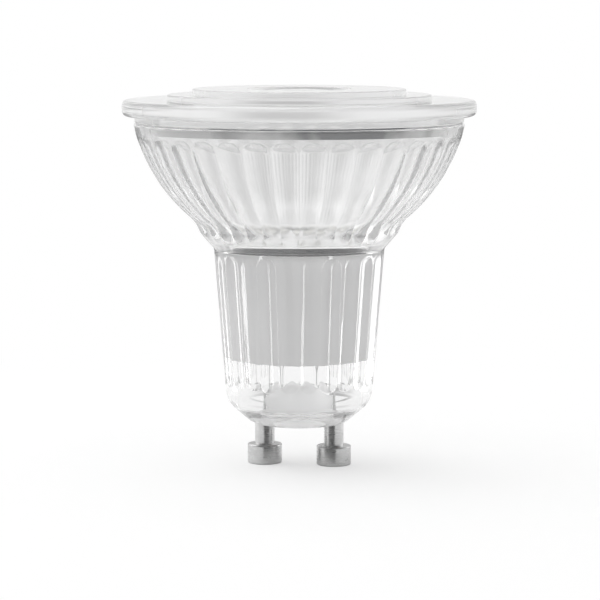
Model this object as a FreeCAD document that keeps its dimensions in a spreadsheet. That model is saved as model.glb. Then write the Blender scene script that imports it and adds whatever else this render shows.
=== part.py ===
"""GU10 spotlight bulb with a clear fluted glass body: every piece as its own solid, in millimetres.

The origin is on the plane that the two pin feet stand on, midway between them. +Z points to the
front lens and the pins stand on the X axis.
"""
import FreeCAD
import Part
import Sketcher
import math
import os
from types import SimpleNamespace

Vector = FreeCAD.Vector
UP = Vector(0, 0, 1)

# Driving dimensions: alias, value and what it measures. Lengths are millimetres, angles degrees.
DIMENSIONS = [
    ("rim_radius", 25.0, "front lens flange, outside"),
    ("rim_bottom", 49.75, "underside of the flange"),
    ("rim_top", 51.95, "top of the flange"),
    ("rim_round", 0.65, "rounding of the flange edges"),
    ("tier_radius", 18.7, "low step on the lens"),
    ("tier_top", 52.7, "top of the low step"),
    ("disc_radius", 15.1, "raised disc of the lens"),
    ("disc_top", 53.5, "top of the raised disc, the bulb's full height"),
    ("step_round", 0.25, "rounding of the two steps"),
    ("eye_radius", 7.4, "shallow dish in the middle of the disc"),
    ("eye_depth", 0.45, "depth of the dish at its edge"),
    ("eye_crown", 0.35, "rise of the dish towards its middle"),
    ("lens_under", 50.0, "underside of the lens plate"),
    ("collar_radius", 23.25, "lens collar that stands on the glass"),
    ("spigot_radius", 20.9, "lens ring that reaches into the glass, outside"),
    ("spigot_wall", 1.3, "thickness of that ring"),
    ("spigot_bottom", 47.6, "lower edge of that ring"),
    ("seal_outer", 23.0, "silicone bead, outside radius"),
    ("seal_height", 0.2, "thickness of the bead on the glass rim"),
    ("glass_top", 48.7, "top of the glass rim"),
    ("glass_wall", 2.0, "wall of the glass bowl"),
    ("glass_rim_round", 0.3, "rounding of the glass rim"),
    ("bowl_radius", 23.85, "outside of the bowl, a ball centred on the axis"),
    ("bowl_centre", 53.25, "height of the bowl's centre"),
    ("bowl_lean", 42.0, "slope where the bowl becomes a cone, from the vertical"),
    ("neck_top_radius", 12.08, "neck where it meets the bowl"),
    ("neck_round", 0.8, "rounding in the corner of neck and bowl"),
    ("neck_foot_radius", 10.33, "neck where it turns in to the base"),
    ("neck_foot_height", 9.18, "height of that turn"),
    ("base_flat_radius", 6.56, "flat underside of the glass"),
    ("base_height", 5.9, "height of the flat underside"),
    ("base_round", 3.5, "rounding of the base"),
    ("floor_height", 8.5, "flat floor inside the neck"),
    ("floor_radius", 8.72, "floor where it meets the bore"),
    ("floor_round", 1.0, "rounding in the corner of floor and bore"),
    ("dome_radius", 5.6, "dome in the middle of the floor"),
    ("dome_top", 11.9, "top of the dome"),
    ("dome_round", 0.5, "rounding at the foot of the dome"),
    ("bore_top_radius", 10.3, "bore of the neck at the ledge"),
    ("ledge_height", 30.8, "ledge that carries the heat sink"),
    ("seat_radius", 10.95, "bore above the ledge"),
    ("bowl_flutes", 36, "flutes around the bowl"),
    ("bowl_flute_radius", 5.27, "section of a bowl flute"),
    ("bowl_flute_depth", 0.5, "depth of a bowl flute"),
    ("bowl_flute_from", 20.1, "upper end of a flute, below the level of the bowl's centre"),
    ("bowl_flute_to", 48.5, "lower end of a flute, below the level of the bowl's centre"),
    ("bowl_flute_turn", 5.0, "direction of the first bowl flute"),
    ("neck_flutes", 24, "flutes around the neck"),
    ("neck_flute_radius", 2.83, "section of a neck flute"),
    ("neck_flute_depth", 0.4, "depth of a neck flute"),
    ("neck_flute_top", 28.95, "middle of a flute's upper ball end"),
    ("neck_flute_foot", 13.0, "middle of a flute's lower ball end"),
    ("neck_flute_turn", 2.5, "direction of the first neck flute"),
    ("pin_spacing", 10.0, "distance between the pins"),
    ("foot_radius", 2.45, "pin foot"),
    ("foot_height", 2.8, "height of the foot"),
    ("foot_round", 0.22, "rounding of the foot's edges"),
    ("stem_radius", 1.4, "pin stem"),
    ("stem_top", 7.4, "upper end of the stem, in its socket in the glass"),
    ("sink_radius", 10.8, "heat sink plate"),
    ("sink_plate", 0.6, "thickness of the plate and of the skirt"),
    ("sink_top_radius", 10.1, "skirt where it leaves the plate"),
    ("sink_foot_radius", 9.1, "skirt at its lower edge"),
    ("sink_foot", 16.8, "height of the lower edge"),
    ("lead_hole", 2.6, "hole for the output leads through plate, pad and board"),
    ("pad_radius", 10.5, "thermal pad"),
    ("pad_height", 0.2, "thickness of the pad"),
    ("board_radius", 10.75, "LED board"),
    ("board_height", 1.0, "thickness of the LED board"),
    ("led_count", 8, "LED packages"),
    ("led_ring", 7.0, "circle that the LED packages stand on"),
    ("led_length", 3.5, "LED package along the circle"),
    ("led_width", 2.8, "LED package across the circle"),
    ("led_height", 0.7, "height of the LED package"),
    ("led_corner", 0.5, "cut corner that marks the cathode"),
    ("sleeve_radius", 8.3, "insulating sleeve, outside"),
    ("sleeve_wall", 0.6, "wall of the sleeve"),
    ("sleeve_roof", 0.8, "thickness of its closed end"),
    ("sleeve_foot", 15.2, "open end of the sleeve"),
    ("driver_width", 15.0, "driver board"),
    ("driver_foot", 15.4, "lower edge of the driver board"),
    ("driver_thick", 1.0, "thickness of the driver board"),
    ("driver_offset", -0.7, "middle of the driver board, across"),
    ("driver_corner", 1.6, "cut lower corners of the driver board"),
    ("input_can_radius", 3.15, "input capacitor"),
    ("input_can_length", 10.5, "length of the input capacitor"),
    ("input_can_place", -3.2, "middle of the input capacitor, along the board"),
    ("input_can_foot", 17.0, "lower end of the input capacitor"),
    ("output_can_radius", 2.0, "output capacitor"),
    ("output_can_length", 4.7, "length of the output capacitor"),
    ("output_can_place", 3.2, "middle of the output capacitor, along the board"),
    ("output_can_foot", 22.3, "lower end of the output capacitor"),
    ("can_round", 0.4, "rounding of a capacitor's ends"),
    ("film_length", 5.0, "film capacitor along the board"),
    ("film_depth", 2.6, "film capacitor, out from the board"),
    ("film_height", 4.6, "height of the film capacitor"),
    ("film_left", 1.2, "left side of the film capacitor"),
    ("film_foot", 17.2, "lower side of the film capacitor"),
    ("choke_radius", 2.8, "flanges of the choke's drum core"),
    ("choke_height", 5.0, "height of the drum core"),
    ("choke_flange", 0.9, "thickness of its flanges"),
    ("choke_post", 1.3, "post between the flanges"),
    ("choke_place", 3.6, "middle of the choke, along the board"),
    ("choke_foot", 22.4, "lower end of the choke"),
    ("winding_radius", 2.45, "winding on the post"),
    ("fuse_radius", 1.2, "fusible resistor"),
    ("fuse_length", 6.4, "length of the fusible resistor"),
    ("fuse_level", 28.3, "height of the fusible resistor"),
    ("leg_width", 0.5, "leg of a moulded package"),
    ("leg_reach", 0.8, "how far a leg stands out"),
    ("leg_thick", 0.25, "thickness of a leg"),
    ("chip_length", 3.1, "chip resistor along the board"),
    ("chip_thick", 0.6, "chip resistor, out from the board"),
    ("chip_height", 1.5, "height of a chip resistor"),
    ("chip_foot", 15.8, "lower side of the chip resistors"),
    ("chip_pitch", 4.0, "distance from one chip resistor to the next"),
    ("mains_lead_radius", 0.2, "wire from a pin through the glass to the driver"),
    ("mains_lead_inset", 0.6, "how far it bends inward"),
    ("mains_lead_straight", 5.6, "straight run from the pin"),
    ("mains_lead_bend", 2.0, "height of the bend"),
    ("mains_lead_top", 16.6, "upper end of the lead"),
    ("output_lead_radius", 0.4, "lead from the driver to the LED board"),
    ("output_lead_place", 1.4, "distance of the lead from the axis"),
    ("output_lead_foot", 27.9, "lower end of the lead"),
    ("output_lead_bend", 1.1, "bend over the LED board"),
    ("output_lead_reach", 4.4, "end of the lead on the LED board"),
]

# Moulded packages on the back of the driver board: name, legs on each side, and the sizes that SIDES names.
SIDES = ("length", "thick", "height", "left", "foot")
PACKAGES = [
    ("bridge_rectifier", 2, (4.6, 2.4, 3.0, -5.6, 18.2)),
    ("controller_chip", 4, (4.9, 1.5, 3.0, 0.6, 18.2)),
    ("output_diode", 1, (4.3, 2.2, 2.4, -5.4, 23.2)),
]
for package, _, values in PACKAGES:
    DIMENSIONS += [(f"{package}_{side}", value, f"{package}, {side}") for side, value in zip(SIDES, values)]


class Size:
    """A length or angle, held as its number and as the sheet expression that gives it."""

    def __init__(self, text, number):
        self.text = text
        self.number = number

    def joined(self, sign, other, number):
        return Size(f"({self.text} {sign} {text_of(other)})", number)

    def __add__(self, other):
        return self.joined("+", other, self.number + number_of(other))

    def __sub__(self, other):
        return self.joined("-", other, self.number - number_of(other))

    def __mul__(self, other):
        return self.joined("*", other, self.number * number_of(other))

    def __truediv__(self, other):
        return self.joined("/", other, self.number / number_of(other))


def number_of(value):
    return value.number if isinstance(value, Size) else value


def text_of(value):
    return value.text if isinstance(value, Size) else str(value)


def sine(angle):
    return Size(f"sin({angle.text} * 1 deg)", math.sin(math.radians(angle.number)))


def cosine(angle):
    return Size(f"cos({angle.text} * 1 deg)", math.cos(math.radians(angle.number)))


def root(value):
    return Size(f"sqrt({value.text})", math.sqrt(value.number))


def make_sheet(doc):
    """Writes the driving dimensions to the sheet and gives them back by name."""
    sheet = doc.addObject("Spreadsheet::Sheet", "Sizes")
    known = {}
    for row, (alias, value, meaning) in enumerate(DIMENSIONS, start=1):
        sheet.set(f"A{row}", meaning)
        sheet.set(f"B{row}", str(value))
        sheet.setAlias(f"B{row}", alias)
        known[alias] = Size(f"Sizes.{alias}", value)
    return SimpleNamespace(**known)


doc = FreeCAD.newDocument("spotlight_bulb")
size = make_sheet(doc)
doc.recompute()
pieces = []


def bind(thing, prop, value):
    """Ties one property of an object to a size."""
    thing.setExpression(prop, text_of(value))


def place(thing, x=0, y=0, z=0, turn=0):
    """Moves a piece to its place and turns it about the vertical."""
    spot = Vector(number_of(x), number_of(y), number_of(z))
    thing.Placement = FreeCAD.Placement(spot, FreeCAD.Rotation(UP, number_of(turn)))
    for axis, value in zip("xyz", (x, y, z)):
        if isinstance(value, Size):
            bind(thing, f"Placement.Base.{axis}", value)


def keep(thing, label):
    """Names a finished piece and lists it for writing."""
    thing.Label = label
    pieces.append(thing)
    return thing


def new_sketch(body, name, plane):
    """A sketch on one of the body's own origin planes."""
    sketch = body.newObject("Sketcher::SketchObject", f"{body.Name}_{name}")
    support = [f for f in body.Origin.OriginFeatures if f.Role == plane]
    sketch.AttachmentSupport = [(support[0], "")]
    sketch.MapMode = "FlatFace"
    return sketch


def arc_between(start, end, radius, side):
    """The arc from start to end with its centre on the left (1) or right (-1) of the way."""
    chord = end - start
    reach = math.sqrt(radius ** 2 - (chord.Length / 2) ** 2)
    across = Vector(-chord.y, chord.x, 0).normalize()
    centre = (start + end) / 2 + across * (reach * side)
    first, last = (start, end) if side > 0 else (end, start)
    angles = [math.atan2(p.y - centre.y, p.x - centre.x) for p in (first, last)]
    return Part.ArcOfCircle(Part.Circle(centre, UP, radius), *angles)


def draw(sketch, points, bends=None, closed=True):
    """Runs from point to point, each point held by its two coordinates.

    bends gives, for a run's number, the radius of its arc and the side that its centre is on.
    """
    bends = bends or {}
    spots = [Vector(number_of(x), number_of(y), 0) for x, y in points]
    count = len(points) if closed else len(points) - 1
    ends = []
    for run in range(count):
        start, end = spots[run], spots[(run + 1) % len(points)]
        if run in bends:
            radius, side = bends[run]
            geometry = sketch.addGeometry(arc_between(start, end, number_of(radius), side))
            hold(sketch, Sketcher.Constraint("Radius", geometry, number_of(radius)), radius)
            ends.append((geometry, (1, 2) if side > 0 else (2, 1)))
        else:
            ends.append((sketch.addGeometry(Part.LineSegment(start, end)), (1, 2)))
    for run in range(count if closed else count - 1):
        geometry, (_, last) = ends[run]
        following, (first, _) = ends[(run + 1) % count]
        sketch.addConstraint(Sketcher.Constraint("Coincident", geometry, last, following, first))
    for run, point in enumerate(points):
        geometry, (first, last) = ends[min(run, count - 1)]
        corner = first if run < count else last
        hold_point(sketch, geometry, corner, point)


def hold(sketch, constraint, value):
    """Adds a sketch dimension and ties it to its size."""
    index = sketch.addConstraint(constraint)
    if isinstance(value, Size):
        bind(sketch, f"Constraints[{index}]", value)


def hold_point(sketch, geometry, corner, point):
    """Holds a corner by its distances from the sketch's origin, or on an axis where one is zero."""
    for kind, axis, value in zip(("DistanceX", "DistanceY"), (-2, -1), point):
        if number_of(value) == 0:
            sketch.addConstraint(Sketcher.Constraint("PointOnObject", geometry, corner, axis))
        else:
            hold(sketch, Sketcher.Constraint(kind, -1, 1, geometry, corner, number_of(value)), value)


def turned_body(name, points, bends=None):
    """A body turned about the vertical from half of its section, given as radius and height."""
    body = doc.addObject("PartDesign::Body", name)
    sketch = new_sketch(body, "section", "XZ_Plane")
    draw(sketch, points, bends)
    turned = body.newObject("PartDesign::Revolution", f"{name}_turned")
    turned.Profile = sketch
    turned.ReferenceAxis = (sketch, ["V_Axis"])
    turned.Angle = 360
    doc.recompute()
    return body


def round_rings(body, radius, rings):
    """Rounds the ring edges found at each radius and height."""
    wanted = [(number_of(r), number_of(z)) for r, z in rings]
    before = body.Tip
    names = []
    for index, edge in enumerate(before.Shape.Edges, start=1):
        if not edge.Degenerated and isinstance(edge.Curve, Part.Circle):
            ring = (edge.Curve.Radius, edge.Curve.Center.z)
            if any(math.dist(ring, spot) < 1e-3 for spot in wanted):
                names.append(f"Edge{index}")
    if len(names) != len(wanted):
        raise RuntimeError(f"{body.Name}: {len(names)} edges found for {len(wanted)} roundings")
    fillet = body.newObject("PartDesign::Fillet", f"{body.Name}_round")
    fillet.Base = (before, names)
    bind(fillet, "Radius", radius)
    doc.recompute()


def padded_body(name, plane, points, thickness, symmetric=False):
    """A body raised from a flat outline."""
    body = doc.addObject("PartDesign::Body", name)
    sketch = new_sketch(body, "outline", plane)
    draw(sketch, points)
    pad = body.newObject("PartDesign::Pad", f"{name}_pad")
    pad.Profile = sketch
    bind(pad, "Length", thickness)
    if symmetric:
        pad.SideType = "Symmetric"
    doc.recompute()
    return body


def swept_lead(name, path, bends, radius):
    """A round lead along a path in the XZ plane that starts upward."""
    body = doc.addObject("PartDesign::Body", name)
    spine = new_sketch(body, "path", "XZ_Plane")
    draw(spine, path, bends, closed=False)
    section = new_sketch(body, "section", "XY_Plane")
    start_x, start_z = path[0]
    section.AttachmentOffset = FreeCAD.Placement(Vector(0, 0, number_of(start_z)), FreeCAD.Rotation())
    bind(section, "AttachmentOffset.Base.z", start_z)
    centre = Vector(number_of(start_x), 0, 0)
    circle = section.addGeometry(Part.Circle(centre, UP, number_of(radius)))
    hold(section, Sketcher.Constraint("Radius", circle, number_of(radius)), radius)
    middle = 3
    hold_point(section, circle, middle, (start_x, 0))
    doc.recompute()
    pipe = body.newObject("PartDesign::AdditivePipe", f"{name}_sweep")
    pipe.Profile = section
    pipe.Spine = (spine, [f"Edge{n + 1}" for n in range(len(path) - 1)])
    doc.recompute()
    return body


def box(name, length, width, height, x, y, z):
    """A plain block from its low corner."""
    block = doc.addObject("Part::Box", name)
    for side, value in (("Length", length), ("Width", width), ("Height", height)):
        bind(block, side, value)
    place(block, x, y, z)
    return block


def front_lens():
    """One moulded piece: flange, two steps, dished middle, collar and the ring inside the glass."""
    seam = size.glass_top + size.seal_height
    spigot_inner = size.spigot_radius - size.spigot_wall
    dish_edge = size.disc_top - size.eye_depth
    reach, rise = size.eye_radius, size.eye_crown
    dish_bend = (reach * reach + rise * rise) / (rise * 2)
    points = [
        (0, size.lens_under),
        (spigot_inner, size.lens_under),
        (spigot_inner, size.spigot_bottom),
        (size.spigot_radius, size.spigot_bottom),
        (size.spigot_radius, seam),
        (size.collar_radius, seam),
        (size.collar_radius, size.rim_bottom),
        (size.rim_radius, size.rim_bottom),
        (size.rim_radius, size.rim_top),
        (size.tier_radius, size.rim_top),
        (size.tier_radius, size.tier_top),
        (size.disc_radius, size.tier_top),
        (size.disc_radius, size.disc_top),
        (size.eye_radius, size.disc_top),
        (size.eye_radius, dish_edge),
        (0, dish_edge + size.eye_crown),
    ]
    dish_run = 14
    body = turned_body("front_lens", points, {dish_run: (dish_bend, 1)})
    flange = [(size.rim_radius, size.rim_bottom), (size.rim_radius, size.rim_top)]
    round_rings(body, size.rim_round, flange)
    steps = [(size.tier_radius, size.tier_top), (size.disc_radius, size.disc_top)]
    round_rings(body, size.step_round, steps)
    keep(body, "front_lens")


def lens_seal():
    """Silicone bead on the glass rim and in the gap between the glass and the ring of the lens."""
    inner = size.bowl_radius - size.glass_wall
    top = size.glass_top + size.seal_height
    points = [
        (size.spigot_radius, size.spigot_bottom),
        (ball_radius(inner, size.spigot_bottom), size.spigot_bottom),
        (ball_radius(inner, size.glass_top), size.glass_top),
        (size.seal_outer, size.glass_top),
        (size.seal_outer, top),
        (size.spigot_radius, top),
    ]
    keep(turned_body("lens_seal", points), "lens_seal")


def ball_radius(radius, height):
    """Radius, at a height, of a ball about the bowl's centre."""
    drop = size.bowl_centre - height
    return root(radius * radius - drop * drop)


def cone_start(radius):
    """Where a ball about the bowl's centre turns into the cone below it."""
    return radius * cosine(size.bowl_lean), size.bowl_centre - radius * sine(size.bowl_lean)


def cone_height(start, radius):
    """Height at which the cone from that start has the given radius."""
    slope = cosine(size.bowl_lean) / sine(size.bowl_lean)
    return start[1] - (start[0] - radius) * slope


def glass_blank():
    """The pressed glass before its flutes: bowl, neck, ledge, floor with its dome, and rounded base."""
    inner = size.bowl_radius - size.glass_wall
    outside, inside = cone_start(size.bowl_radius), cone_start(inner)
    corner = (size.neck_top_radius, cone_height(outside, size.neck_top_radius))
    turn = (size.neck_foot_radius, size.neck_foot_height)
    flat = (size.base_flat_radius, size.base_height)
    floor = (size.floor_radius, size.floor_height)
    foot, rise = size.dome_radius, size.dome_top - size.floor_height
    points = [
        (ball_radius(inner, size.glass_top), size.glass_top),
        (ball_radius(size.bowl_radius, size.glass_top), size.glass_top),
        outside,
        corner,
        turn,
        flat,
        (0, size.base_height),
        (0, size.dome_top),
        (foot, size.floor_height),
        floor,
        (size.bore_top_radius, size.ledge_height),
        (size.seat_radius, size.ledge_height),
        (size.seat_radius, cone_height(inside, size.seat_radius)),
        inside,
    ]
    dome_bend = (foot * foot + rise * rise) / (rise * 2)
    bends = {1: (size.bowl_radius, -1), 7: (dome_bend, -1), 13: (inner, 1)}
    body = turned_body("glass_blank", points, bends)
    round_rings(body, size.base_round, [turn, flat])
    round_rings(body, size.neck_round, [corner])
    round_rings(body, size.floor_round, [floor])
    round_rings(body, size.dome_round, [(foot, size.floor_height)])
    round_rings(body, size.glass_rim_round, [points[1]])
    return body


def bowl_cutter():
    """A ball-ended tool along an arc about the bowl's centre, in the XZ plane."""
    section, centre = size.bowl_flute_radius.number, Vector(0, 0, size.bowl_centre.number)
    path = size.bowl_radius.number + section - size.bowl_flute_depth.number
    start, end = (math.radians(a.number) for a in (size.bowl_flute_from, size.bowl_flute_to))
    faces = []
    for angle, way in ((start, 1), (end, -1)):
        spot = centre + Vector(math.cos(angle), 0, -math.sin(angle)) * path
        along = Vector(math.sin(angle), 0, math.cos(angle)) * way
        ball = Part.makeSphere(section, spot, along, 0, 90, 360)
        faces += [face for face in ball.Faces if isinstance(face.Surface, Part.Sphere)]
        if angle == start:
            ring = Part.Circle(spot, along, section).toShape()
            faces += ring.revolve(centre, Vector(0, 1, 0), math.degrees(end - start)).Faces
    return closed_solid(faces)


def neck_cutter(outer_line):
    """A ball-ended straight tool along the slope of the neck, in the XZ plane."""
    section = size.neck_flute_radius.number
    (top_radius, top), (foot_radius, foot) = outer_line
    slope = (top_radius - foot_radius) / (top - foot)
    outward = Vector(1, 0, -slope).normalize() * (section - size.neck_flute_depth.number)
    low, high = (Vector(foot_radius + (z - foot) * slope, 0, z) + outward
                 for z in (size.neck_flute_foot.number, size.neck_flute_top.number))
    along = (high - low).normalize()
    wall = Part.makeCylinder(section, (high - low).Length, low, along).Faces
    faces = [face for face in wall if isinstance(face.Surface, Part.Cylinder)]
    for spot, way in ((low, along * -1), (high, along)):
        ball = Part.makeSphere(section, spot, way, 0, 90, 360)
        faces += [face for face in ball.Faces if isinstance(face.Surface, Part.Sphere)]
    return closed_solid(faces)


def closed_solid(faces):
    """Sews faces that share their edges into one solid."""
    shell = Part.makeShell(faces)
    shell.sewShape()
    solid = Part.makeSolid(shell)
    if solid.Volume < 0:
        solid.reverse()
    return solid


def around(tool, count, first):
    """Copies of a tool, evenly turned about the axis."""
    copies = []
    for number in range(int(count.number)):
        copy = tool.copy()
        copy.rotate(Vector(), UP, first.number + 360 * number / count.number)
        copies.append(copy)
    return copies


def pin_holes():
    """A socket for each pin's stem, and above it the narrow hole for its wire."""
    holes = []
    for side in (-1, 1):
        spot = Vector(size.pin_spacing.number / 2 * side, 0, 0)
        holes.append(Part.makeCylinder(size.stem_radius.number, size.stem_top.number, spot))
        holes.append(Part.makeCylinder(size.mains_lead_radius.number, size.dome_top.number, spot))
    return holes


def glass_body():
    """The fluted glass, with the holes for the pins and their wires."""
    blank = glass_blank()
    outside = cone_start(size.bowl_radius)
    corner = (size.neck_top_radius.number, cone_height(outside, size.neck_top_radius).number)
    turn = (size.neck_foot_radius.number, size.neck_foot_height.number)
    shape = blank.Shape.cut(around(bowl_cutter(), size.bowl_flutes, size.bowl_flute_turn))
    shape = shape.cut(around(neck_cutter((corner, turn)), size.neck_flutes, size.neck_flute_turn))
    glass = doc.addObject("Part::Feature", "glass_body")
    glass.Shape = shape.cut(pin_holes()).Solids[0]
    keep(glass, "glass_body")


def contact_pin(label, side):
    """Turned pin: a wide foot and a stem that is cemented in its socket in the glass."""
    points = [
        (0, 0),
        (size.foot_radius, 0),
        (size.foot_radius, size.foot_height),
        (size.stem_radius, size.foot_height),
        (size.stem_radius, size.stem_top),
        (0, size.stem_top),
    ]
    body = turned_body(label, points)
    round_rings(body, size.foot_round, [(size.foot_radius, 0), (size.foot_radius, size.foot_height)])
    place(body, size.pin_spacing * (side / 2))
    keep(body, label)


def mains_lead(label, side):
    """Wire that rises from a pin through the glass, bends inward and lies on the driver board."""
    start, inset, bend = size.pin_spacing / 2, size.mains_lead_inset, size.mains_lead_bend
    low = size.stem_top + size.mains_lead_straight
    curve = (inset * inset + bend * bend) / (inset * 4)
    path = [
        (start, size.stem_top),
        (start, low),
        (start - inset / 2, low + bend / 2),
        (start - inset, low + bend),
        (start - inset, size.mains_lead_top),
    ]
    body = swept_lead(label, path, {1: (curve, 1), 2: (curve, -1)}, size.mains_lead_radius)
    place(body, turn=0 if side > 0 else 180)
    keep(body, label)


def output_lead(label, side):
    """Lead from the driver board that bends over the LED board."""
    board_top = size.ledge_height + size.sink_plate + size.pad_height + size.board_height
    level = board_top + size.output_lead_radius
    bend = size.output_lead_bend
    path = [
        (size.output_lead_place, size.output_lead_foot),
        (size.output_lead_place, level - bend),
        (size.output_lead_place + bend, level),
        (size.output_lead_reach, level),
    ]
    body = swept_lead(label, path, {1: (bend, -1)}, size.output_lead_radius)
    front = size.driver_offset + size.driver_thick / 2
    place(body, y=front + size.output_lead_radius, turn=0 if side > 0 else 180)
    keep(body, label)


def heat_sink():
    """Aluminium plate on the glass ledge with a skirt that lines the neck."""
    top = size.ledge_height + size.sink_plate
    points = [
        (size.lead_hole, size.ledge_height),
        (size.sink_top_radius - size.sink_plate, size.ledge_height),
        (size.sink_foot_radius - size.sink_plate, size.sink_foot),
        (size.sink_foot_radius, size.sink_foot),
        (size.sink_top_radius, size.ledge_height),
        (size.sink_radius, size.ledge_height),
        (size.sink_radius, top),
        (size.lead_hole, top),
    ]
    keep(turned_body("heat_sink", points), "heat_sink")


def flat_ring(label, inner, outer, bottom, height):
    """A flat washer-shaped piece."""
    points = [(inner, bottom), (outer, bottom), (outer, bottom + height), (inner, bottom + height)]
    keep(turned_body(label, points), label)


def led_packages(bottom):
    """Flat packages on a circle, each with one cut corner."""
    half_length, half_width, cut = size.led_length / 2, size.led_width / 2, size.led_corner
    low_x, low_y = half_width * -1, half_length * -1
    points = [
        (low_x, low_y),
        (half_width, low_y),
        (half_width, half_length - cut),
        (half_width - cut, half_length),
        (low_x, half_length),
    ]
    step = 360 / size.led_count.number
    for number in range(int(size.led_count.number)):
        angle = math.radians(step * (number + 0.5))
        body = padded_body(f"led_{number + 1}", "XY_Plane", points, size.led_height)
        x, y = size.led_ring * math.cos(angle), size.led_ring * math.sin(angle)
        place(body, x, y, bottom, math.degrees(angle))
        keep(body, f"led_{number + 1}")


def insulating_sleeve():
    """Plastic cup, open downward, between the heat sink and the driver."""
    inner = size.sleeve_radius - size.sleeve_wall
    roof = size.ledge_height - size.sleeve_roof
    points = [
        (inner, size.sleeve_foot),
        (size.sleeve_radius, size.sleeve_foot),
        (size.sleeve_radius, size.ledge_height),
        (size.lead_hole, size.ledge_height),
        (size.lead_hole, roof),
        (inner, roof),
    ]
    keep(turned_body("insulating_sleeve", points), "insulating_sleeve")


def driver_board():
    """Upright circuit board in the sleeve, with its lower corners cut."""
    half, cut = size.driver_width / 2, size.driver_corner
    top = size.ledge_height - size.sleeve_roof
    points = [
        (half * -1, size.driver_foot + cut),
        (half * -1 + cut, size.driver_foot),
        (half - cut, size.driver_foot),
        (half, size.driver_foot + cut),
        (half, top),
        (half * -1, top),
    ]
    body = padded_body("driver_board", "XZ_Plane", points, size.driver_thick, symmetric=True)
    place(body, y=size.driver_offset)
    keep(body, "driver_board")


def capacitor(label, radius, length, x, y, z):
    """Round capacitor can that stands beside the board."""
    points = [(0, 0), (radius, 0), (radius, length), (0, length)]
    body = turned_body(label, points)
    round_rings(body, size.can_round, [(radius, 0), (radius, length)])
    place(body, x, y, z)
    keep(body, label)


def choke(x, y, z):
    """Drum core and the winding between its flanges."""
    high = size.choke_height - size.choke_flange
    core = turned_body("choke_core", [
        (0, 0),
        (size.choke_radius, 0),
        (size.choke_radius, size.choke_flange),
        (size.choke_post, size.choke_flange),
        (size.choke_post, high),
        (size.choke_radius, high),
        (size.choke_radius, size.choke_height),
        (0, size.choke_height),
    ])
    winding = turned_body("choke_winding", [
        (size.choke_post, size.choke_flange),
        (size.winding_radius, size.choke_flange),
        (size.winding_radius, high),
        (size.choke_post, high),
    ])
    for body, label in ((core, "choke_core"), (winding, "choke_winding")):
        place(body, x, y, z)
        keep(body, label)


def fusible_resistor(back):
    """Round resistor that lies across the back of the board."""
    barrel = doc.addObject("Part::Cylinder", "fuse_barrel")
    bind(barrel, "Radius", size.fuse_radius)
    bind(barrel, "Height", size.fuse_length)
    barrel.Placement = FreeCAD.Placement(Vector(), FreeCAD.Rotation(Vector(0, 1, 0), 90))
    start = (size.fuse_length / -2, back - size.fuse_radius, size.fuse_level)
    for axis, value in zip("xyz", start):
        bind(barrel, f"Placement.Base.{axis}", value)
    doc.recompute()
    rounded = doc.addObject("Part::Fillet", "fusible_resistor")
    rounded.Base = barrel
    rims = [n for n, e in enumerate(barrel.Shape.Edges, start=1) if isinstance(e.Curve, Part.Circle)]
    rounded.Edges = [(n, size.can_round.number, size.can_round.number) for n in rims]
    keep(rounded, "fusible_resistor")


def moulded_package(label, legs, back):
    """Package on the back of the board, with legs along its upper and lower edges."""
    length, thick, height, left, foot = (getattr(size, f"{label}_{side}") for side in SIDES)
    reach, flat = size.leg_reach, size.leg_thick
    solids = [box(f"{label}_body", length, thick, height, left, back - thick, foot)]
    for number in range(legs):
        leg_left = left + length * ((number + 0.5) / legs) - size.leg_width / 2
        for row, leg_foot in enumerate((foot - reach, foot + height)):
            name = f"{label}_leg_{number + 1}_{row + 1}"
            solids.append(box(name, size.leg_width, flat, reach, leg_left, back - flat, leg_foot))
    doc.recompute()
    whole = doc.addObject("Part::MultiFuse", label)
    whole.Shapes = solids
    keep(whole, label)


def chip_resistors(back):
    """Three flat resistors side by side on the back of the board."""
    for number, step in enumerate((-1, 0, 1), start=1):
        left = size.chip_pitch * step - size.chip_length / 2
        block = box(f"chip_resistor_{number}", size.chip_length, size.chip_thick, size.chip_height,
                    left, back - size.chip_thick, size.chip_foot)
        keep(block, f"chip_resistor_{number}")


def driver_parts():
    """What stands on the two faces of the driver board."""
    front = size.driver_offset + size.driver_thick / 2
    back = size.driver_offset - size.driver_thick / 2
    capacitor("input_capacitor", size.input_can_radius, size.input_can_length,
              size.input_can_place, front + size.input_can_radius, size.input_can_foot)
    choke(size.choke_place, front + size.choke_radius, size.choke_foot)
    film = box("film_capacitor", size.film_length, size.film_depth, size.film_height,
               size.film_left, front, size.film_foot)
    keep(film, "film_capacitor")
    capacitor("output_capacitor", size.output_can_radius, size.output_can_length,
              size.output_can_place, back - size.output_can_radius, size.output_can_foot)
    fusible_resistor(back)
    for label, legs, _ in PACKAGES:
        moulded_package(label, legs, back)
    chip_resistors(back)


def check_document():
    """Stops before anything is written if an object failed or a piece isn't one valid solid."""
    doc.recompute()
    for thing in doc.Objects:
        if {"Invalid", "Error"} & set(thing.State):
            raise RuntimeError(f"{thing.Label} failed: {thing.State}")
    for piece in pieces:
        shape = piece.Shape
        if shape.isNull() or not shape.isValid() or len(shape.Solids) != 1:
            raise RuntimeError(f"{piece.Label} isn't one valid solid")


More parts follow.
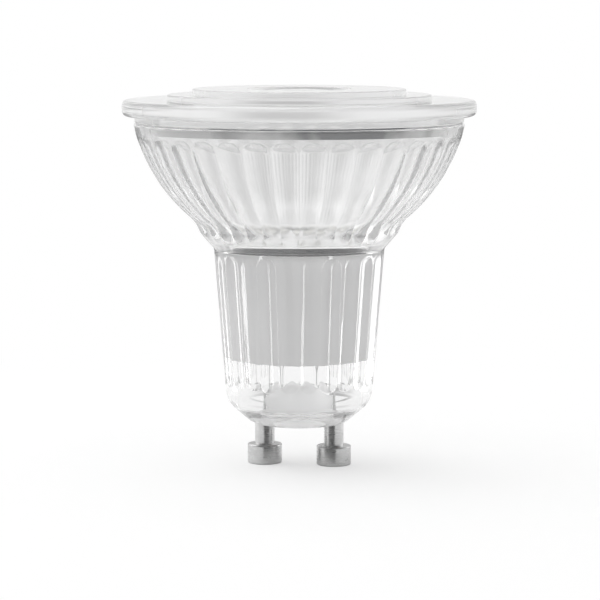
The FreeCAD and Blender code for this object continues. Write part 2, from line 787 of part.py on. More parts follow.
def main():
    plate_top = size.ledge_height + size.sink_plate
    pad_top = plate_top + size.pad_height
    board_top = pad_top + size.board_height
    front_lens()
    lens_seal()
    glass_body()
    heat_sink()
    flat_ring("thermal_pad", size.lead_hole, size.pad_radius, plate_top, size.pad_height)
    flat_ring("led_board", size.lead_hole, size.board_radius, pad_top, size.board_height)
    led_packages(board_top)
    insulating_sleeve()
    driver_board()
    driver_parts()
    for side, name in ((-1, "left"), (1, "right")):
        contact_pin(f"contact_pin_{name}", side)
        mains_lead(f"mains_lead_{name}", side)
        output_lead(f"output_lead_{name}", side)
    check_document()
    os.makedirs("parts", exist_ok=True)
    for piece in pieces:
        piece.Shape.exportStep(os.path.join("parts", piece.Label + ".step"))
    print(f"{len(pieces)} pieces written")


main()
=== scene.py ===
"""Studio scene of a clear spotlight bulb: a fluted glass body that stands on two contact pins.

The file is laid out as an add-on. Every size is in metres, in the frame of the CAD model, and MM turns
millimetres into them. The origin is on the plane that the pins stand on, midway between them.
"""

import math

import bpy
import numpy as np
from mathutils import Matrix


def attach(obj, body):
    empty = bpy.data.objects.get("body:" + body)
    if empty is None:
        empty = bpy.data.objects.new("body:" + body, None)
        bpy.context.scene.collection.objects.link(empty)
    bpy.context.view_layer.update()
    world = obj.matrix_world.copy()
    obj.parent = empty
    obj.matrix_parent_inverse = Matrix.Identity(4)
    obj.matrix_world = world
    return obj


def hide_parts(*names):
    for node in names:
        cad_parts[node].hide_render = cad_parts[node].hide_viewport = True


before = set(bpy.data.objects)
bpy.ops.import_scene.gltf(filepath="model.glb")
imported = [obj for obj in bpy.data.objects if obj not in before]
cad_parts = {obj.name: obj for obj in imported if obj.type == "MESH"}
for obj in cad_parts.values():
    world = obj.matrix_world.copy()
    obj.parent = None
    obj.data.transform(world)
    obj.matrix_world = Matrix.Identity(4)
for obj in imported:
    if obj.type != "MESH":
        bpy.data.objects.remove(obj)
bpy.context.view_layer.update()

bl_info = {
    "name": "Fluted Glass Spotlight Bulb",
    "version": (1, 0, 0),
    "blender": (4, 5, 0),
    "location": "View3D > Sidebar > Bulb",
    "description": "Dresses a CAD frame as a clear fluted glass spotlight bulb in a white studio",
    "category": "Object",
}

MM = 0.001
FULL_TURN = 2 * math.pi
BODY = "root"
# Columns of the glass as shares of a bowl flute, from ridge to ridge. The ridges of the neck are at 0 or 0.5.
FLUTED_COLUMNS = (0.0, 0.03, 0.16, 0.32, 0.47, 0.5, 0.53, 0.68, 0.84, 0.97)
TURNED_COLUMNS = 180
PIN_COLUMNS = 96
WIRE_COLUMNS = 20
WIRE_RINGS = 40
FLAG_COLUMNS = 40
# How far plain rings of the glass reach past a bend before the fluted ones start: above the neck's foot, on
# either side of the corner of neck and bowl, and below the rim.
BASE_REACH = 1.7 * MM
BEND_REACH = 0.45 * MM
RIM_REACH = 0.6 * MM
# Share of the bore that belongs to the floor's rings.
FLOOR_REACH = 0.1
# Play that the silicone bead keeps to what it touches, and the rounding of its edges.
BEAD_PLAY = 0.02 * MM
BEAD_ROUND = 0.04 * MM
# Distance of the points that straight runs get next to a rounding.
EDGE_POINT = 0.15 * MM
# How far inside a radius the band of painted edge shade at that radius begins.
EDGE_PLAY = 0.03 * MM
# Refraction of glass and acrylic.
GLASS_BEND = 1.52
ACRYLIC_BEND = 1.49
# Section of an LED package as share of its outline and of its height: foot, wall, rim, cup and phosphor.
LED_SECTION = [
    (0.0, 0.0), (0.97, 0.0), (1.0, 0.05), (1.0, 0.55), (1.0, 0.9), (0.985, 0.97), (0.95, 1.0), (0.86, 1.0),
    (0.84, 0.98), (0.8, 0.86), (0.78, 0.85), (0.5, 0.87), (0.0, 0.88),
]
LED_PHOSPHOR_FROM = 9


def linear(hex_colour):
    """Linear red, green, blue and 1 for an sRGB hex colour."""
    parts = [int(hex_colour[i:i + 2], 16) / 255 for i in (1, 3, 5)]
    return tuple(p / 12.92 if p <= 0.04045 else ((p + 0.055) / 1.055) ** 2.4 for p in parts) + (1.0,)


def length(name, millimetres, description):
    """A setting that holds a length."""
    return bpy.props.FloatProperty(
        name=name, description=description, default=millimetres * MM, min=0.0, unit="LENGTH", precision=5)


def angle(name, degrees, description):
    """A setting that holds an angle."""
    return bpy.props.FloatProperty(
        name=name, description=description, default=math.radians(degrees), subtype="ANGLE")


def colour(name, hex_colour, description):
    """A setting that holds a colour."""
    return bpy.props.FloatVectorProperty(
        name=name, description=description, default=linear(hex_colour), size=4, min=0.0, max=1.0,
        subtype="COLOR")


def number(name, value, description):
    """A setting that holds a count."""
    return bpy.props.IntProperty(name=name, description=description, default=value, min=1)


def part_of_one(name, value, description):
    """A setting that holds a share from 0 to 1."""
    return bpy.props.FloatProperty(
        name=name, description=description, default=value, min=0.0, max=1.0, subtype="FACTOR")


class GlassSettings(bpy.types.PropertyGroup):
    """Sizes and colour of the pressed glass body."""

    bowl_radius: length("Bowl radius", 23.85, "Outside of the bowl, a ball centred on the axis")
    bowl_centre: length("Bowl centre", 53.25, "Height of the bowl's centre")
    bowl_lean: angle("Bowl lean", 42.0, "Descent below the centre at which the bowl becomes a cone")
    wall: length("Wall", 2.0, "Thickness of the bowl")
    rim_height: length("Rim height", 48.7, "Top of the glass rim")
    rim_round: length("Rim rounding", 0.3, "Rounding of the glass rim")
    neck_top_radius: length("Neck top radius", 12.08, "Neck where it meets the bowl")
    neck_round: length("Neck rounding", 0.8, "Rounding in the corner of neck and bowl")
    neck_foot_radius: length("Neck foot radius", 10.33, "Neck where it turns in to the base")
    neck_foot_height: length("Neck foot height", 9.18, "Height of that turn")
    base_flat_radius: length("Base radius", 6.56, "Flat underside of the glass")
    base_height: length("Base height", 5.9, "Height of the flat underside")
    base_round: length("Base rounding", 3.5, "Rounding of the base")
    floor_height: length("Floor height", 8.5, "Flat floor inside the neck")
    floor_radius: length("Floor radius", 8.72, "Floor where it meets the bore")
    floor_round: length("Floor rounding", 1.0, "Rounding in the corner of floor and bore")
    dome_radius: length("Dome radius", 5.6, "Dome in the middle of the floor")
    dome_top: length("Dome top", 11.9, "Top of the dome")
    dome_round: length("Dome rounding", 0.5, "Rounding at the foot of the dome")
    bore_top_radius: length("Bore radius", 10.3, "Bore of the neck at the ledge")
    ledge_height: length("Ledge height", 30.8, "Ledge that carries the heat sink")
    seat_radius: length("Seat radius", 10.95, "Bore above the ledge")
    edge_round: length("Edge rounding", 0.15, "Rounding of the moulded inner edges")
    film_foot: length("Film foot", 15.4, "Lower edge of the metal film on the bore")
    bowl_flutes: number("Bowl flutes", 36, "Flutes around the bowl")
    bowl_flute_radius: length("Bowl flute section", 5.27, "Section of a bowl flute")
    bowl_flute_depth: length("Bowl flute depth", 0.5, "Depth of a bowl flute")
    bowl_flute_from: angle("Bowl flute top", 20.1, "Upper end of a flute, below the bowl's centre")
    bowl_flute_to: angle("Bowl flute foot", 48.5, "Lower end of a flute, below the bowl's centre")
    bowl_flute_turn: angle("Bowl flute turn", 5.0, "Direction of the first bowl flute")
    neck_flutes: number("Neck flutes", 24, "Flutes around the neck")
    neck_flute_radius: length("Neck flute section", 2.83, "Section of a neck flute")
    neck_flute_depth: length("Neck flute depth", 0.4, "Depth of a neck flute")
    neck_flute_top: length("Neck flute top", 28.95, "Middle of a flute's upper ball end")
    neck_flute_foot: length("Neck flute foot", 13.0, "Middle of a flute's lower ball end")
    neck_flute_turn: angle("Neck flute turn", 2.5, "Direction of the first neck flute")
    tint: colour("Tint", "#fbfbfb", "Colour of the glass")
    film_top: colour("Film at the top", "#f6f6f6", "Colour of the film under the ledge")
    film_low: colour("Film at the foot", "#fbfbfb", "Colour of the film at its lower edge")


class LensSettings(bpy.types.PropertyGroup):
    """Sizes and colour of the moulded front lens and its seal."""

    rim_radius: length("Rim radius", 25.0, "Outside of the flange")
    rim_bottom: length("Rim underside", 49.75, "Underside of the flange")
    rim_top: length("Rim top", 51.95, "Top of the flange")
    rim_round: length("Rim rounding", 0.65, "Rounding of the flange")
    tier_radius: length("Low step radius", 18.7, "Low step on the lens")
    tier_top: length("Low step top", 52.7, "Top of the low step")
    disc_radius: length("Disc radius", 15.1, "Raised disc of the lens")
    disc_top: length("Disc top", 53.5, "Top of the raised disc")
    step_round: length("Step rounding", 0.25, "Rounding of the two steps")
    eye_radius: length("Dish radius", 7.4, "Shallow dish in the middle of the disc")
    eye_depth: length("Dish depth", 0.45, "Depth of the dish at its edge")
    eye_crown: length("Dish crown", 0.35, "Rise of the dish towards its middle")
    underside: length("Underside", 50.0, "Underside of the lens plate")
    collar_radius: length("Collar radius", 23.25, "Collar that stands on the glass")
    seam: length("Seam", 48.9, "Underside of the collar")
    spigot_radius: length("Ring radius", 20.9, "Ring that reaches into the glass, outside")
    spigot_wall: length("Ring wall", 1.3, "Thickness of that ring")
    spigot_bottom: length("Ring foot", 47.6, "Lower edge of that ring")
    edge_round: length("Edge rounding", 0.1, "Rounding of the moulded inner edges")
    seal_outer: length("Seal outside", 23.0, "Outside radius of the silicone bead")
    seal_bottom: length("Seal underside", 48.7, "Underside of the bead on the glass rim")
    seal_foot_radius: length("Seal foot radius", 21.1, "Outside radius of the bead at its foot, in the glass")
    seal_rim_radius: length("Seal rim radius", 21.36, "Outside radius of the bead where it leaves the glass")
    # Painted shade: the bead is darkened towards this side, and in clouds, for the shade in the joint under
    # the lens.
    seal_shade_side: angle("Seal side", 20.0, "Where the painted shade on the bead is darkest, from the front to the right")
    tint: colour("Tint", "#fdfdfd", "Colour of the acrylic")
    # The pale colour is the bead's own; the dark one is painted shade.
    seal_pale: colour("Pale seal", "#dedede", "Colour of the bead away from its painted shade")
    seal_painted_shade: colour("Seal shade", "#77787a", "Painted shade on the bead at its darkest")


class PinSettings(bpy.types.PropertyGroup):
    """Sizes and colour of the two contact pins and the leads that rise from them."""

    spacing: length("Spacing", 10.0, "Distance between the pins")
    foot_radius: length("Foot radius", 2.45, "Wide foot of a pin")
    foot_height: length("Foot height", 2.8, "Height of the foot")
    foot_round: length("Foot rounding", 0.22, "Rounding of the foot's edges")
    corner_round: length("Corner rounding", 0.1, "Rounding where the stem leaves the foot")
    stem_radius: length("Stem radius", 1.4, "Stem of a pin")
    stem_round: length("Stem rounding", 0.15, "Rounding of the stem's upper end")
    stem_top: length("Stem top", 7.4, "Upper end of the stem, in its socket in the glass")
    lead_radius: length("Wire radius", 0.2, "Wire from a pin through the glass to the driver")
    lead_inset: length("Lead inset", 0.6, "How far the lead bends inward")
    lead_bend_foot: length("Bend foot", 13.0, "Height at which the lead starts to bend")
    lead_bend_top: length("Bend top", 15.0, "Height at which the lead runs straight again")
    lead_top: length("Lead top", 16.6, "Upper end of the lead")
    plating: colour("Plating", "#d8d8d8", "Colour of the nickel plate")


class InsideSettings(bpy.types.PropertyGroup):
    """Sizes and colours of the heat sink, the LED board and what stands on it."""

    sink_radius: length("Plate radius", 10.8, "Heat sink plate")
    sink_top: length("Plate top", 31.4, "Top of the heat sink plate")
    sink_wall: length("Skirt wall", 0.6, "Thickness of the skirt")
    skirt_top_radius: length("Skirt top radius", 10.1, "Skirt where it leaves the plate")
    skirt_foot_radius: length("Skirt foot radius", 9.1, "Skirt at its lower edge")
    skirt_foot: length("Skirt foot", 16.8, "Height of the lower edge")
    ledge: length("Ledge", 30.8, "Underside of the plate")
    lead_hole: length("Lead hole", 2.6, "Hole for the output leads")
    edge_round: length("Edge rounding", 0.12, "Rounding of the heat sink and of the sleeve")
    pad_radius: length("Pad radius", 10.5, "Thermal pad")
    pad_top: length("Pad top", 31.6, "Top of the thermal pad")
    pad_round: length("Pad rounding", 0.05, "Rounding of the thermal pad")
    board_radius: length("Board radius", 10.75, "LED board")
    board_top: length("Board top", 32.6, "Top of the LED board")
    board_round: length("Board rounding", 0.08, "Rounding of the LED board")
    led_count: number("LEDs", 8, "LED packages on the board")
    led_ring: length("LED circle", 7.0, "Circle that the packages stand on")
    led_length: length("LED length", 3.5, "Package along the circle")
    led_width: length("LED width", 2.8, "Package across the circle")
    led_height: length("LED height", 0.7, "Height of a package")
    led_corner: length("LED corner", 0.5, "Cut corner that marks the cathode")
    sleeve_radius: length("Sleeve radius", 8.3, "Insulating sleeve, outside")
    sleeve_wall: length("Sleeve wall", 0.6, "Wall of the sleeve")
    sleeve_roof: length("Sleeve roof", 30.0, "Underside of the sleeve's closed end")
    sleeve_foot: length("Sleeve foot", 15.2, "Open end of the sleeve")
    lead_radius: length("Lead radius", 0.4, "Lead from the driver to the LED board")
    lead_place: length("Lead place", 1.4, "Distance of the lead from the axis")
    lead_across: length("Lead offset", 0.2, "Place of the leads across the board")
    lead_foot: length("Lead foot", 27.9, "Lower end of the lead")
    lead_bend: length("Lead bend", 1.1, "Bend of the lead over the board")
    lead_reach: length("Lead reach", 4.4, "End of the lead on the board")
    aluminium: colour("Aluminium", "#dfdfdf", "Colour of the heat sink")
    board_mask: colour("Board", "#f6f6f6", "Colour of the solder mask on the LED board")
    # Painted shade: the edges of the LED board and of the heat sink plate get this dark colour for the shade
    # in the narrow gap at the seat of the glass.
    edge_shade: colour("Edge shade", "#6a6b6c", "Painted shade on the edges of the LED board and of the heat sink plate")
    phosphor: colour("Phosphor", "#eae9e2", "Colour of the LEDs' phosphor")


class StageSettings(bpy.types.PropertyGroup):
    """Camera, lamps and backdrop."""

    camera_turn: angle("Camera turn", 10.0, "Direction of the camera, from the front towards the right pin")
    camera_distance: length("Camera distance", 390.0, "Distance of the camera from the axis")
    camera_height: length("Camera height", 68.0, "Height of the camera")
    camera_dip: angle("Camera dip", 6.51, "How far the camera looks down")
    camera_lens: bpy.props.FloatProperty(
        name="Lens", description="Focal length on a 36 mm sensor", default=165.7, unit="CAMERA")
    camera_shift: bpy.props.FloatProperty(
        name="Shift", description="Sideways shift of the picture, as a share of its width", default=0.0013,
        precision=4)
    floor_colour: colour("Floor", "#fefefe", "Colour of the floor")
    floor_radius: length("Floor radius", 200.0, "Round sheet that the bulb stands on")
    floor_glow: part_of_one("Floor glow", 0.5, "Plain white in what a camera sees of the floor near the bulb")
    floor_shine: part_of_one("Floor shine", 0.7, "Plain white in what glass shows of the floor near the bulb")
    floor_near: part_of_one("Floor near", 0.2, "Share of its radius up to which the floor takes the shadow")
    floor_far: part_of_one("Floor far", 0.6, "Share of its radius from which the floor is plain white")
    fill: bpy.props.FloatProperty(
        name="Fill light", description="Strength of the light from all round", default=0.75, min=0.0)
    key_power: bpy.props.FloatProperty(
        name="Key light", description="Power of the large lamp above", default=2.1, min=0.0, unit="POWER")
    key_size: length("Key size", 600.0, "Width of the large lamp, which is square")
    key_aim: length("Key aim", 30.0, "Height that the large lamp faces")
    card_light: bpy.props.FloatProperty(
        name="Light cards", description="Brightness of the small cards round the bulb that its ribs mirror",
        default=1.4, min=0.0)
    card_distance: length("Card distance", 30.0, "Distance of the cards from the axis")
    card_height: length("Card height", 16.0, "Height of the middle of the cards")
    card_tall: length("Card length", 20.0, "Length of the cards, which stand upright")
    card_aim: length("Card aim", 24.0, "Height that the cards face")
    card_spread: angle("Card spread", 80.0, "Angle into which the cards shine")
    flag_thick: length("Flag thickness", 0.5, "Thickness of the grey flags")
    flag_colour: colour("Flags", "#8a8a8a", "Colour of the grey flags")


def unit(vector):
    """The vector at length 1."""
    return vector / np.linalg.norm(vector)


def spaced(*runs):
    """Joins evenly spaced values: each run is start, end and number of steps, without its end."""
    return np.concatenate([np.linspace(start, end, steps, endpoint=False) for start, end, steps in runs])


def corner_arc(before, spot, after, bend, steps):
    """The arc of radius bend that touches the two runs which meet at a corner.

    With half the angle between the runs called h, it touches them bend / tan h from the corner, and its
    centre is bend / sin h from the corner on the line that halves the angle.
    """
    back, on = unit(before - spot), unit(after - spot)
    half = math.acos(float(np.clip(back @ on, -1.0, 1.0))) / 2
    centre = spot + unit(back + on) * bend / math.sin(half)
    ends = [spot + way * bend / math.tan(half) - centre for way in (back, on)]
    start, end = (math.atan2(e[1], e[0]) for e in ends)
    sweep = (end - start + math.pi) % FULL_TURN - math.pi
    turn = start + sweep * np.linspace(0.0, 1.0, steps + 1)
    return centre + bend * np.stack([np.cos(turn), np.sin(turn)], axis=-1)


def rounded_run(corners, closed=False, steps=6):
    """Profile through corners that are given as radius, height and rounding.

    Each straight run also gets a point close to either end, so that smooth shading bends in the roundings
    alone.
    """
    spots = [np.array(c[:2]) for c in corners]
    count = len(corners)
    arcs = []
    for i, (_, _, bend) in enumerate(corners):
        if bend and (closed or 0 < i < count - 1):
            arcs.append(corner_arc(spots[i - 1], spots[i], spots[(i + 1) % count], bend, steps))
        else:
            arcs.append(spots[i][None, :])
    run = [arcs[0]]
    following = arcs[1:] + ([arcs[0]] if closed else [])
    for start, end in zip(arcs, following):
        span = end[0] - start[-1]
        edge = span * min(EDGE_POINT / np.linalg.norm(span), 0.25)
        run += [np.stack([start[-1] + edge, end[0] - edge]), end]
    if closed:
        run.pop()
    return np.concatenate(run)


def crown(radius, edge, apex, steps):
    """Profile of a dome from its edge to the axis, part of a ball that rises from edge to apex.

    With the rise h, the ball's radius is (radius^2 + h^2) / 2h.
    """
    rise = apex - edge
    ball = (radius ** 2 + rise ** 2) / (2 * rise)
    lean = np.linspace(math.asin(radius / ball), 0.0, steps + 1)
    return np.stack([ball * np.sin(lean), apex - ball + ball * np.cos(lean)], axis=-1)


def grid_object(name, points, closed=False, bands=None):
    """Object whose skin is a grid: rings of points, each joined all the way round and to the next ring.

    A first or last ring whose points coincide becomes one vertex. closed joins the last ring to the first.
    bands gives the material's number for each gap between two rings. Faces point outward where the columns
    run anticlockwise and the rings run up the outside.
    """
    rings, columns, _ = points.shape
    index = np.arange(rings * columns).reshape(rings, columns)
    if not closed:
        for end in (0, -1):
            if np.ptp(points[end], axis=0).max() < 1e-9:
                index[end] = index[end, 0]
    low = index if closed else index[:-1]
    high = np.roll(index, -1, axis=0) if closed else index[1:]
    quads = np.stack([low, np.roll(low, -1, axis=1), np.roll(high, -1, axis=1), high], axis=-1)
    gaps = np.repeat(np.arange(len(low)), columns)
    used, corner = np.unique(quads, return_inverse=True)
    faces = [list(dict.fromkeys(face)) for face in corner.reshape(-1, 4).tolist()]
    mesh = bpy.data.meshes.new(name)
    mesh.from_pydata(points.reshape(-1, 3)[used].tolist(), [], faces)
    mesh.polygons.foreach_set("use_smooth", np.ones(len(faces), dtype=bool))
    if bands is not None:
        mesh.polygons.foreach_set("material_index", np.asarray(bands, dtype=np.int32)[gaps])
    mesh.update()
    if mesh.validate():
        raise RuntimeError(f"{name} has faulty faces")
    piece = bpy.data.objects.new(name, mesh)
    bpy.context.scene.collection.objects.link(piece)
    return piece


def turned_points(profile, columns=TURNED_COLUMNS, centre=(0.0, 0.0)):
    """A profile turned about an upright axis: x = cx + r cos t, y = cy + r sin t, z as in the profile."""
    turn = FULL_TURN * np.arange(columns) / columns
    radius, height = profile[:, :1], profile[:, 1:]
    return np.stack([
        centre[0] + radius * np.cos(turn),
        centre[1] + radius * np.sin(turn),
        height + 0.0 * turn,
    ], axis=-1)


def tube_points(path, radius):
    """A round tube along a path in an upright plane across Y, with closed ends.

    Each ring is p + radius (cos t Y + sin t N), where N is square to the path and to Y.
    """
    along = np.gradient(path, axis=0)
    along /= np.linalg.norm(along, axis=1, keepdims=True)
    across = np.array([0.0, 1.0, 0.0])
    beside = np.cross(along, across)
    turn = FULL_TURN * np.arange(WIRE_COLUMNS) / WIRE_COLUMNS
    offset = np.cos(turn)[None, :, None] * beside[:, None, :] + np.sin(turn)[None, :, None] * across
    rings = path[:, None, :] + radius * offset
    ends = [np.repeat(path[i][None, None, :], WIRE_COLUMNS, axis=1) for i in (0, -1)]
    return np.concatenate([ends[0], rings, ends[1]])


def nearest_flute(turn, count, first):
    """Angle from the middle of the nearest flute, within half a pitch either way."""
    pitch = FULL_TURN / count
    return (turn - first + pitch / 2) % pitch - pitch / 2


def neck_corner(glass):
    """Where the line of the neck meets the cone of the bowl."""
    start = glass.bowl_radius * np.array([math.cos(glass.bowl_lean), -math.sin(glass.bowl_lean)])
    drop = (start[0] - glass.neck_top_radius) / math.tan(glass.bowl_lean)
    return np.array([glass.neck_top_radius, glass.bowl_centre + start[1] - drop])


def bowl_skin(glass, descent, turn):
    """Radius and height of the fluted bowl.

    Seen from the bowl's centre, a point at an angle `descent` below its level is on the ball, R away, and
    past the lean on the cone that touches the ball there, R / cos(descent - lean) away. A flute is the hollow
    that a ball of radius s leaves as it rolls along an arc p away from the centre: at an angle c from the
    nearest point of that arc, its near side is p cos c - sqrt(s^2 - p^2 sin^2 c) away. The nearer of the two
    is the skin.
    """
    down = descent[:, None]
    aside = nearest_flute(turn, glass.bowl_flutes, glass.bowl_flute_turn)[None, :]
    plain = glass.bowl_radius / np.cos(np.maximum(down - glass.bowl_lean, 0.0))
    path = glass.bowl_radius + glass.bowl_flute_radius - glass.bowl_flute_depth
    level = np.cos(down) * np.cos(aside)
    along = np.clip(np.arctan2(np.sin(down), level), glass.bowl_flute_from, glass.bowl_flute_to)
    cosine = level * np.cos(along) + np.sin(down) * np.sin(along)
    inside = glass.bowl_flute_radius ** 2 - path ** 2 * (1.0 - cosine ** 2)
    hollow = np.where(inside > 0.0, path * cosine - np.sqrt(np.maximum(inside, 0.0)), np.inf)
    reach = np.minimum(plain, hollow)
    return reach * np.cos(down), glass.bowl_centre - reach * np.sin(down)


def ball_side(level, out, high, section):
    """Distance along a level ray to the near side of a ball, or infinity where it misses.

    level is the cosine of the ray's turn from the ball, out the ball's distance from the axis and high its
    height above or below the ray: the near root of r^2 - 2 r out level + out^2 + high^2 = section^2.
    """
    inside = (out * level) ** 2 - (out ** 2 + high ** 2 - section ** 2)
    return np.where(inside > 0.0, out * level - np.sqrt(np.maximum(inside, 0.0)), np.inf)


def neck_skin(glass, height, turn):
    """Radius and height of the fluted neck.

    The plain neck is a cone. A flute is the hollow of a round bar with ball ends that lies along it: a level
    ray from the axis meets the bar at the near root of |q|^2 - (q . d)^2 = s^2, where q runs from the bar's
    lower end to the point on the ray and d is the bar's direction. Past either end the bar is a ball. The
    nearer skin counts.
    """
    corner = neck_corner(glass)
    slope = (corner[0] - glass.neck_foot_radius) / (corner[1] - glass.neck_foot_height)
    lean, section = math.atan(slope), glass.neck_flute_radius
    lift = section - glass.neck_flute_depth
    ends = [np.array([glass.neck_foot_radius + (z - glass.neck_foot_height) * slope + lift * math.cos(lean),
                      z - lift * math.sin(lean)]) for z in (glass.neck_flute_foot, glass.neck_flute_top)]
    bar = np.linalg.norm(ends[1] - ends[0])
    way = (ends[1] - ends[0]) / bar
    rise = height[:, None]
    level = np.cos(nearest_flute(turn, glass.neck_flutes, glass.neck_flute_turn))[None, :]
    above = rise - ends[0][1]
    ray = level * way[0]
    start = above * way[1] - ends[0][0] * way[0]
    square = 1.0 - ray ** 2
    middle = -ends[0][0] * level - ray * start
    rest = ends[0][0] ** 2 + above ** 2 - start ** 2 - section ** 2
    inside = middle ** 2 - square * rest
    hollow = np.where(inside > 0.0, (-middle - np.sqrt(np.maximum(inside, 0.0))) / square, np.inf)
    along = start + ray * np.where(np.isfinite(hollow), hollow, 0.0)
    hollow = np.where(along < 0.0, ball_side(level, ends[0][0], rise - ends[0][1], section), hollow)
    hollow = np.where(along > bar, ball_side(level, ends[1][0], rise - ends[1][1], section), hollow)
    plain = glass.neck_foot_radius + (rise - glass.neck_foot_height) * slope
    return np.minimum(plain, hollow), rise + 0.0 * level


def floor_profile(glass):
    """Profile from the bore over the rounded corner and the flat floor to the top of the dome."""
    dome = crown(glass.dome_radius, glass.floor_height, glass.dome_top, 12)
    floor = np.array([glass.floor_radius, glass.floor_height])
    bore_top = np.array([glass.bore_top_radius, glass.ledge_height])
    run = rounded_run([
        (*(floor + (bore_top - floor) * FLOOR_REACH), 0.0),
        (*floor, glass.floor_round),
        (glass.dome_radius, glass.floor_height, glass.dome_round),
        (*dome[1], 0.0),
    ], steps=8)
    return np.concatenate([run, dome[2:]])


def glass_points(glass):
    """Rings of the glass: base, fluted neck, fluted bowl, rim, inside of the bowl, ledge, bore and floor.

    Along the neck and the bowl, the rings are closest together where the flutes end.
    """
    pitch = FULL_TURN / glass.bowl_flutes
    first = glass.bowl_flute_turn - pitch / 2
    turn = (first + pitch * (np.arange(glass.bowl_flutes)[:, None] + np.array(FLUTED_COLUMNS))).ravel()
    corner = neck_corner(glass)
    neck_foot = np.array([glass.neck_foot_radius, glass.neck_foot_height])
    neck_way = unit(corner - neck_foot)
    cone_way = np.array([math.sin(glass.bowl_lean), math.cos(glass.bowl_lean)])
    base = rounded_run([
        (0.0, glass.base_height, 0.0),
        (glass.base_flat_radius, glass.base_height, glass.base_round),
        (*neck_foot, glass.base_round),
        (*(neck_foot + neck_way * BASE_REACH), 0.0),
    ], steps=10)
    foot, top = glass.neck_flute_foot / MM, glass.neck_flute_top / MM
    neck = neck_skin(glass, MM * spaced(
        (foot - 1.9, foot - 1.6, 1),
        (foot - 1.6, foot + 0.4, 20),
        (foot + 0.4, top - 0.45, 14),
        (top - 0.45, top + 1.55, 20),
        (top + 1.55, top + 1.67, 1),
    ), turn)
    bend = rounded_run([
        (*(corner - neck_way * BEND_REACH), 0.0),
        (*corner, glass.neck_round),
        (*(corner + cone_way * BEND_REACH), 0.0),
    ], steps=5)
    top, foot = math.degrees(glass.bowl_flute_from), math.degrees(glass.bowl_flute_to)
    bowl = bowl_skin(glass, np.radians(spaced(
        (foot + 11.5, foot + 6.1, 3),
        (foot + 6.1, foot - 2.0, 24),
        (foot - 2.0, top + 1.9, 24),
        (top + 1.9, top - 5.9, 26),
        (top - 5.9, top - 7.7, 3),
    )), turn)

    inner = glass.bowl_radius - glass.wall
    rim_drop = glass.bowl_centre - glass.rim_height
    rim_out, rim_in = (math.sqrt(ball ** 2 - rim_drop ** 2) for ball in (glass.bowl_radius, inner))
    rim_start = math.sqrt(glass.bowl_radius ** 2 - (rim_drop + RIM_REACH) ** 2)
    lean = np.linspace(math.asin(rim_drop / inner) + math.radians(1), glass.bowl_lean, 14)
    inside = inner * np.stack([np.cos(lean), -np.sin(lean)], axis=-1) + (0.0, glass.bowl_centre)
    rim = rounded_run([
        (rim_start, glass.rim_height - RIM_REACH, 0.0),
        (rim_out, glass.rim_height, glass.rim_round),
        (rim_in, glass.rim_height, glass.edge_round),
        (*inside[0], 0.0),
    ], steps=5)
    seat_top = inside[-1][1] - (inside[-1][0] - glass.seat_radius) / math.tan(glass.bowl_lean)
    floor = floor_profile(glass)
    bore_top = np.array([glass.bore_top_radius, glass.ledge_height])
    fall = (floor[0] - bore_top) / (bore_top[1] - floor[0][1])
    film_edge = bore_top + fall * (bore_top[1] - glass.film_foot)
    ledge = rounded_run([
        (*inside[-1], 0.0),
        (glass.seat_radius, seat_top, glass.edge_round),
        (glass.seat_radius, glass.ledge_height, glass.edge_round),
        (glass.bore_top_radius, glass.ledge_height, glass.edge_round),
        (*film_edge, 0.0),
        (*floor[0], 0.0),
    ], steps=4)

    inner_side = np.concatenate([rim[:-1], inside[:-1], ledge[:-1], floor])
    level = np.zeros(len(turn))
    plain = [(run[:, :1] + level, run[:, 1:] + level) for run in (base, bend, inner_side)]
    skins = [plain[0], neck, plain[1], bowl, plain[2]]
    radius, height = (np.concatenate(sides) for sides in zip(*skins))
    return np.stack([radius * np.cos(turn), radius * np.sin(turn), height], axis=-1)


def glass_bands(glass, points):
    """Material of each gap between two rings.

    0 is clear glass, 1 the satin inside of the bowl, 2 the film on the bore and 3 the satin dome.
    """
    height = points[:, 0, 2]
    middle = (height[:-1] + height[1:]) / 2
    inside = np.arange(len(middle)) >= np.argmax(height)
    bowl = inside & (middle > glass.ledge_height)
    film = inside & (middle > glass.film_foot) & (middle < glass.ledge_height)
    span = np.hypot(points[:, 0, 0], points[:, 0, 1])
    dome = inside & (span[1:] < glass.dome_radius)
    return np.select([bowl, film, dome], [1, 2, 3])


def shaded_edge_bands(profile, radius):
    """Material of each gap of a closed profile: 1 on the edge at a radius, which gets painted shade, 0
    elsewhere.
    """
    middle = (profile[:, 0] + np.roll(profile[:, 0], -1)) / 2
    return (middle > radius - EDGE_PLAY).astype(int)


def lens_profile(lens):
    """Half section of the lens, from the axis under the plate round to the axis on top of the dish."""
    spigot_inner, fine = lens.spigot_radius - lens.spigot_wall, lens.edge_round
    dish_edge = lens.disc_top - lens.eye_depth
    outline = rounded_run([
        (0.0, lens.underside, 0.0),
        (spigot_inner, lens.underside, fine),
        (spigot_inner, lens.spigot_bottom, fine),
        (lens.spigot_radius, lens.spigot_bottom, fine),
        (lens.spigot_radius, lens.seam, fine),
        (lens.collar_radius, lens.seam, fine),
        (lens.collar_radius, lens.rim_bottom, fine),
        (lens.rim_radius, lens.rim_bottom, lens.rim_round),
        (lens.rim_radius, lens.rim_top, lens.rim_round),
        (lens.tier_radius, lens.rim_top, fine),
        (lens.tier_radius, lens.tier_top, lens.step_round),
        (lens.disc_radius, lens.tier_top, fine),
        (lens.disc_radius, lens.disc_top, lens.step_round),
        (lens.eye_radius, lens.disc_top, fine),
        (lens.eye_radius, dish_edge, 0.0),
    ])
    return np.concatenate([outline[:-1], crown(lens.eye_radius, dish_edge, dish_edge + lens.eye_crown, 10)])


def ring_profile(inner, outer, bottom, top, bend):
    """Closed half section of a flat ring with rounded edges."""
    corners = [(inner, bottom), (outer, bottom), (outer, top), (inner, top)]
    return rounded_run([(*c, bend) for c in corners], closed=True, steps=3)


